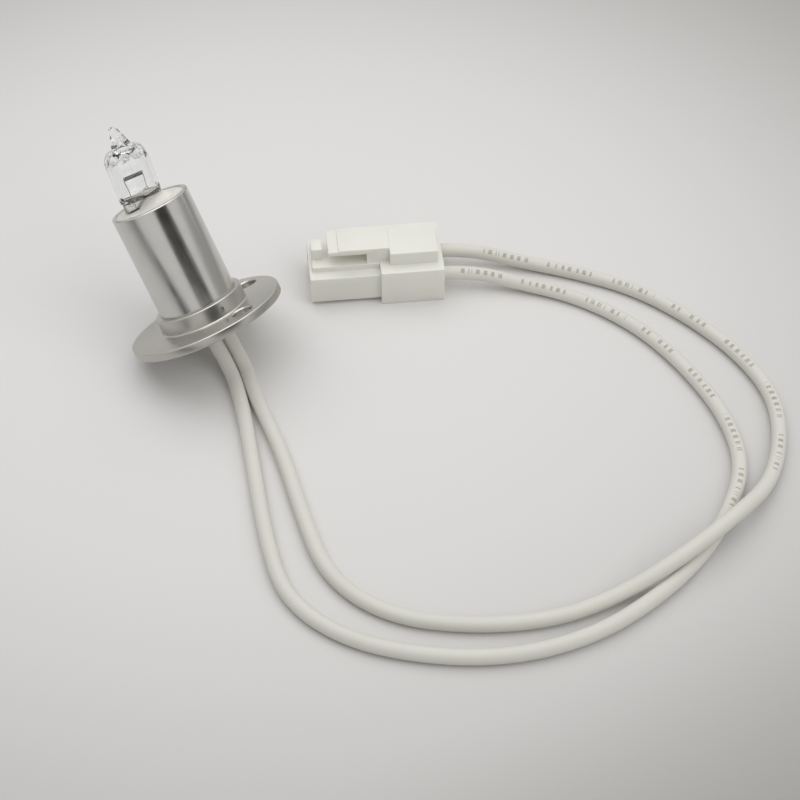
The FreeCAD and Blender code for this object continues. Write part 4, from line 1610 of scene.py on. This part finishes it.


# ---------------------------------------------------------------- building

# Control points of the leads' splines in metres, from inside the bush to inside the plug.  They are the
# points of the solids' routes, some of them moved to follow the photograph.
OUTER_ROUTE = [
    (0.00185, -0.00334, 0.01349), (0.00285, -0.0122, 0.00159),
    (-0.0034, -0.0235, 0.00155), (-0.0099, -0.0386, 0.00155), (-0.0182, -0.0532, 0.00155),
    (-0.0255, -0.0678, 0.00155), (-0.0242, -0.0822, 0.00155), (-0.0152, -0.0951, 0.00155),
    (-0.0030, -0.1056, 0.00155), (0.0097, -0.1108, 0.00155), (0.0235, -0.1150, 0.0049),
    (0.0388, -0.1162, 0.0049), (0.0520, -0.1152, 0.0020), (0.0640, -0.1095, 0.00155),
    (0.0732, -0.1008, 0.00155), (0.0780, -0.0880, 0.00155), (0.0794, -0.0740, 0.00155),
    (0.0782, -0.0600, 0.00155), (0.0732, -0.0470, 0.00155), (0.0668, -0.0356, 0.0019),
    (0.05908, -0.02504, 0.0043), (0.05007, -0.01758, 0.0043),
]
INNER_ROUTE = [
    (-0.00185, -0.00262, 0.01303), (-0.00035, -0.0116, 0.00162),
    (-0.0070, -0.0236, 0.00155), (-0.0172, -0.0383, 0.00155), (-0.0275, -0.0530, 0.00155),
    (-0.0347, -0.0662, 0.00155), (-0.0333, -0.0806, 0.00155), (-0.0256, -0.0940, 0.00155),
    (-0.0147, -0.1055, 0.00155), (-0.0014, -0.1129, 0.00155), (0.0126, -0.1160, 0.00155),
    (0.0277, -0.1164, 0.00155), (0.0410, -0.1134, 0.00155), (0.0525, -0.1083, 0.00155),
    (0.0606, -0.0983, 0.00155), (0.0659, -0.0855, 0.00155), (0.0689, -0.0718, 0.00155),
    (0.0686, -0.0602, 0.00155), (0.0662, -0.0500, 0.00155), (0.0613, -0.0406, 0.0020),
    (0.0543, -0.03082, 0.0043), (0.04529, -0.02336, 0.0043),
]

# The plug's heading, in degrees, and where the foot of its rear face stands, in millimetres.
PLUG_TURN = 140.4
PLUG_AT = (52.3, -24.3, 0.0)


def dress_solids(finishes: dict[str, bpy.types.Material]) -> None:
    """Gives the solids that stay in sight, or lie inside, their finishes.

    Args:
        finishes: a material for each node.
    """
    for name, material in finishes.items():
        piece = bpy.data.objects[name]
        piece.data.materials.clear()
        piece.data.materials.append(material)
        LOG.info("%s: the solid itself, in %s", name, material.name)


def main() -> None:
    """Builds the studio, the leads, the lamp and the plug in order."""
    logging.basicConfig(level=logging.INFO, format="%(name)s: %(message)s")
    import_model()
    Studio().build()

    lamp = LampFrame().pose()
    plug = Plug(Pose(turn_about((0, 0, 1), PLUG_TURN), np.array(PLUG_AT))).housing(Nylon())
    outer = Lead("lead_outer_jacket", OUTER_ROUTE, 0.2971, (0.00185, -0.0066, 0.00846))
    inner = Lead("lead_inner_jacket", INNER_ROUTE, 0.2895, (-0.00185, -0.00589, 0.008))
    outer.lay(Jacket("lead_jacket_outer", marked=(178.0, 285.0)), "wire_jacket", "lead_outer")
    inner.lay(Jacket("lead_jacket_inner", marked=(178.0, 280.0)), "wire_jacket", "lead_inner")

    bright = Metal("flange_metal", (0.53, 0.517, 0.485), 0.29, Grain.RINGS, lamp, 0.0008)
    satin = Metal("barrel_metal", (0.63, 0.62, 0.60), 0.22, Grain.STREAKS, lamp, 0.004, 0.14)
    mounting = Mounting(lamp)
    mounting.flange(bright)
    mounting.barrel(satin)
    mounting.bush(Cast("bush", (0.72, 0.70, 0.62), (0.62, 0.60, 0.52), 0.01))

    capsule = Capsule(lamp)
    capsule.glass(Quartz(capsule.pose()))
    capsule.coil(Metal("tungsten", (0.17, 0.17, 0.18), 0.38))
    for side in (1, -1):
        capsule.lead(side, Metal("molybdenum", (0.42, 0.42, 0.43), 0.3))
        capsule.foil(side, Metal("foil", (0.17, 0.17, 0.175), 0.3))
    Potting(lamp, capsule).face(Cast("cement", (0.86, 0.835, 0.785), (0.77, 0.735, 0.67)))

    pin = Metal("pin_nickel", (0.45, 0.44, 0.41), 0.3).dress()
    steel = Metal("pin_steel", (0.42, 0.41, 0.40), 0.4).dress()
    ferrule = Metal("ferrule", (0.70, 0.66, 0.55), 0.35).dress()
    contact = Metal("contact_metal", (0.75, 0.72, 0.62), 0.28).dress()
    sleeve = Sleeving(lamp).dress()
    ceramic = Cast("ceramic", (0.82, 0.79, 0.72), (0.76, 0.72, 0.64), 0.02).dress()
    dress_solids({
        "contact_pin_left": pin, "contact_pin_right": pin,
        "collar_pin": steel, "splice_left": ferrule, "splice_right": ferrule, "terminal_outer": contact,
        "terminal_inner": contact, "sleeve_left": sleeve, "sleeve_right": sleeve, "ceramic_base": ceramic,
    })


if __name__ == "__main__":
    main()
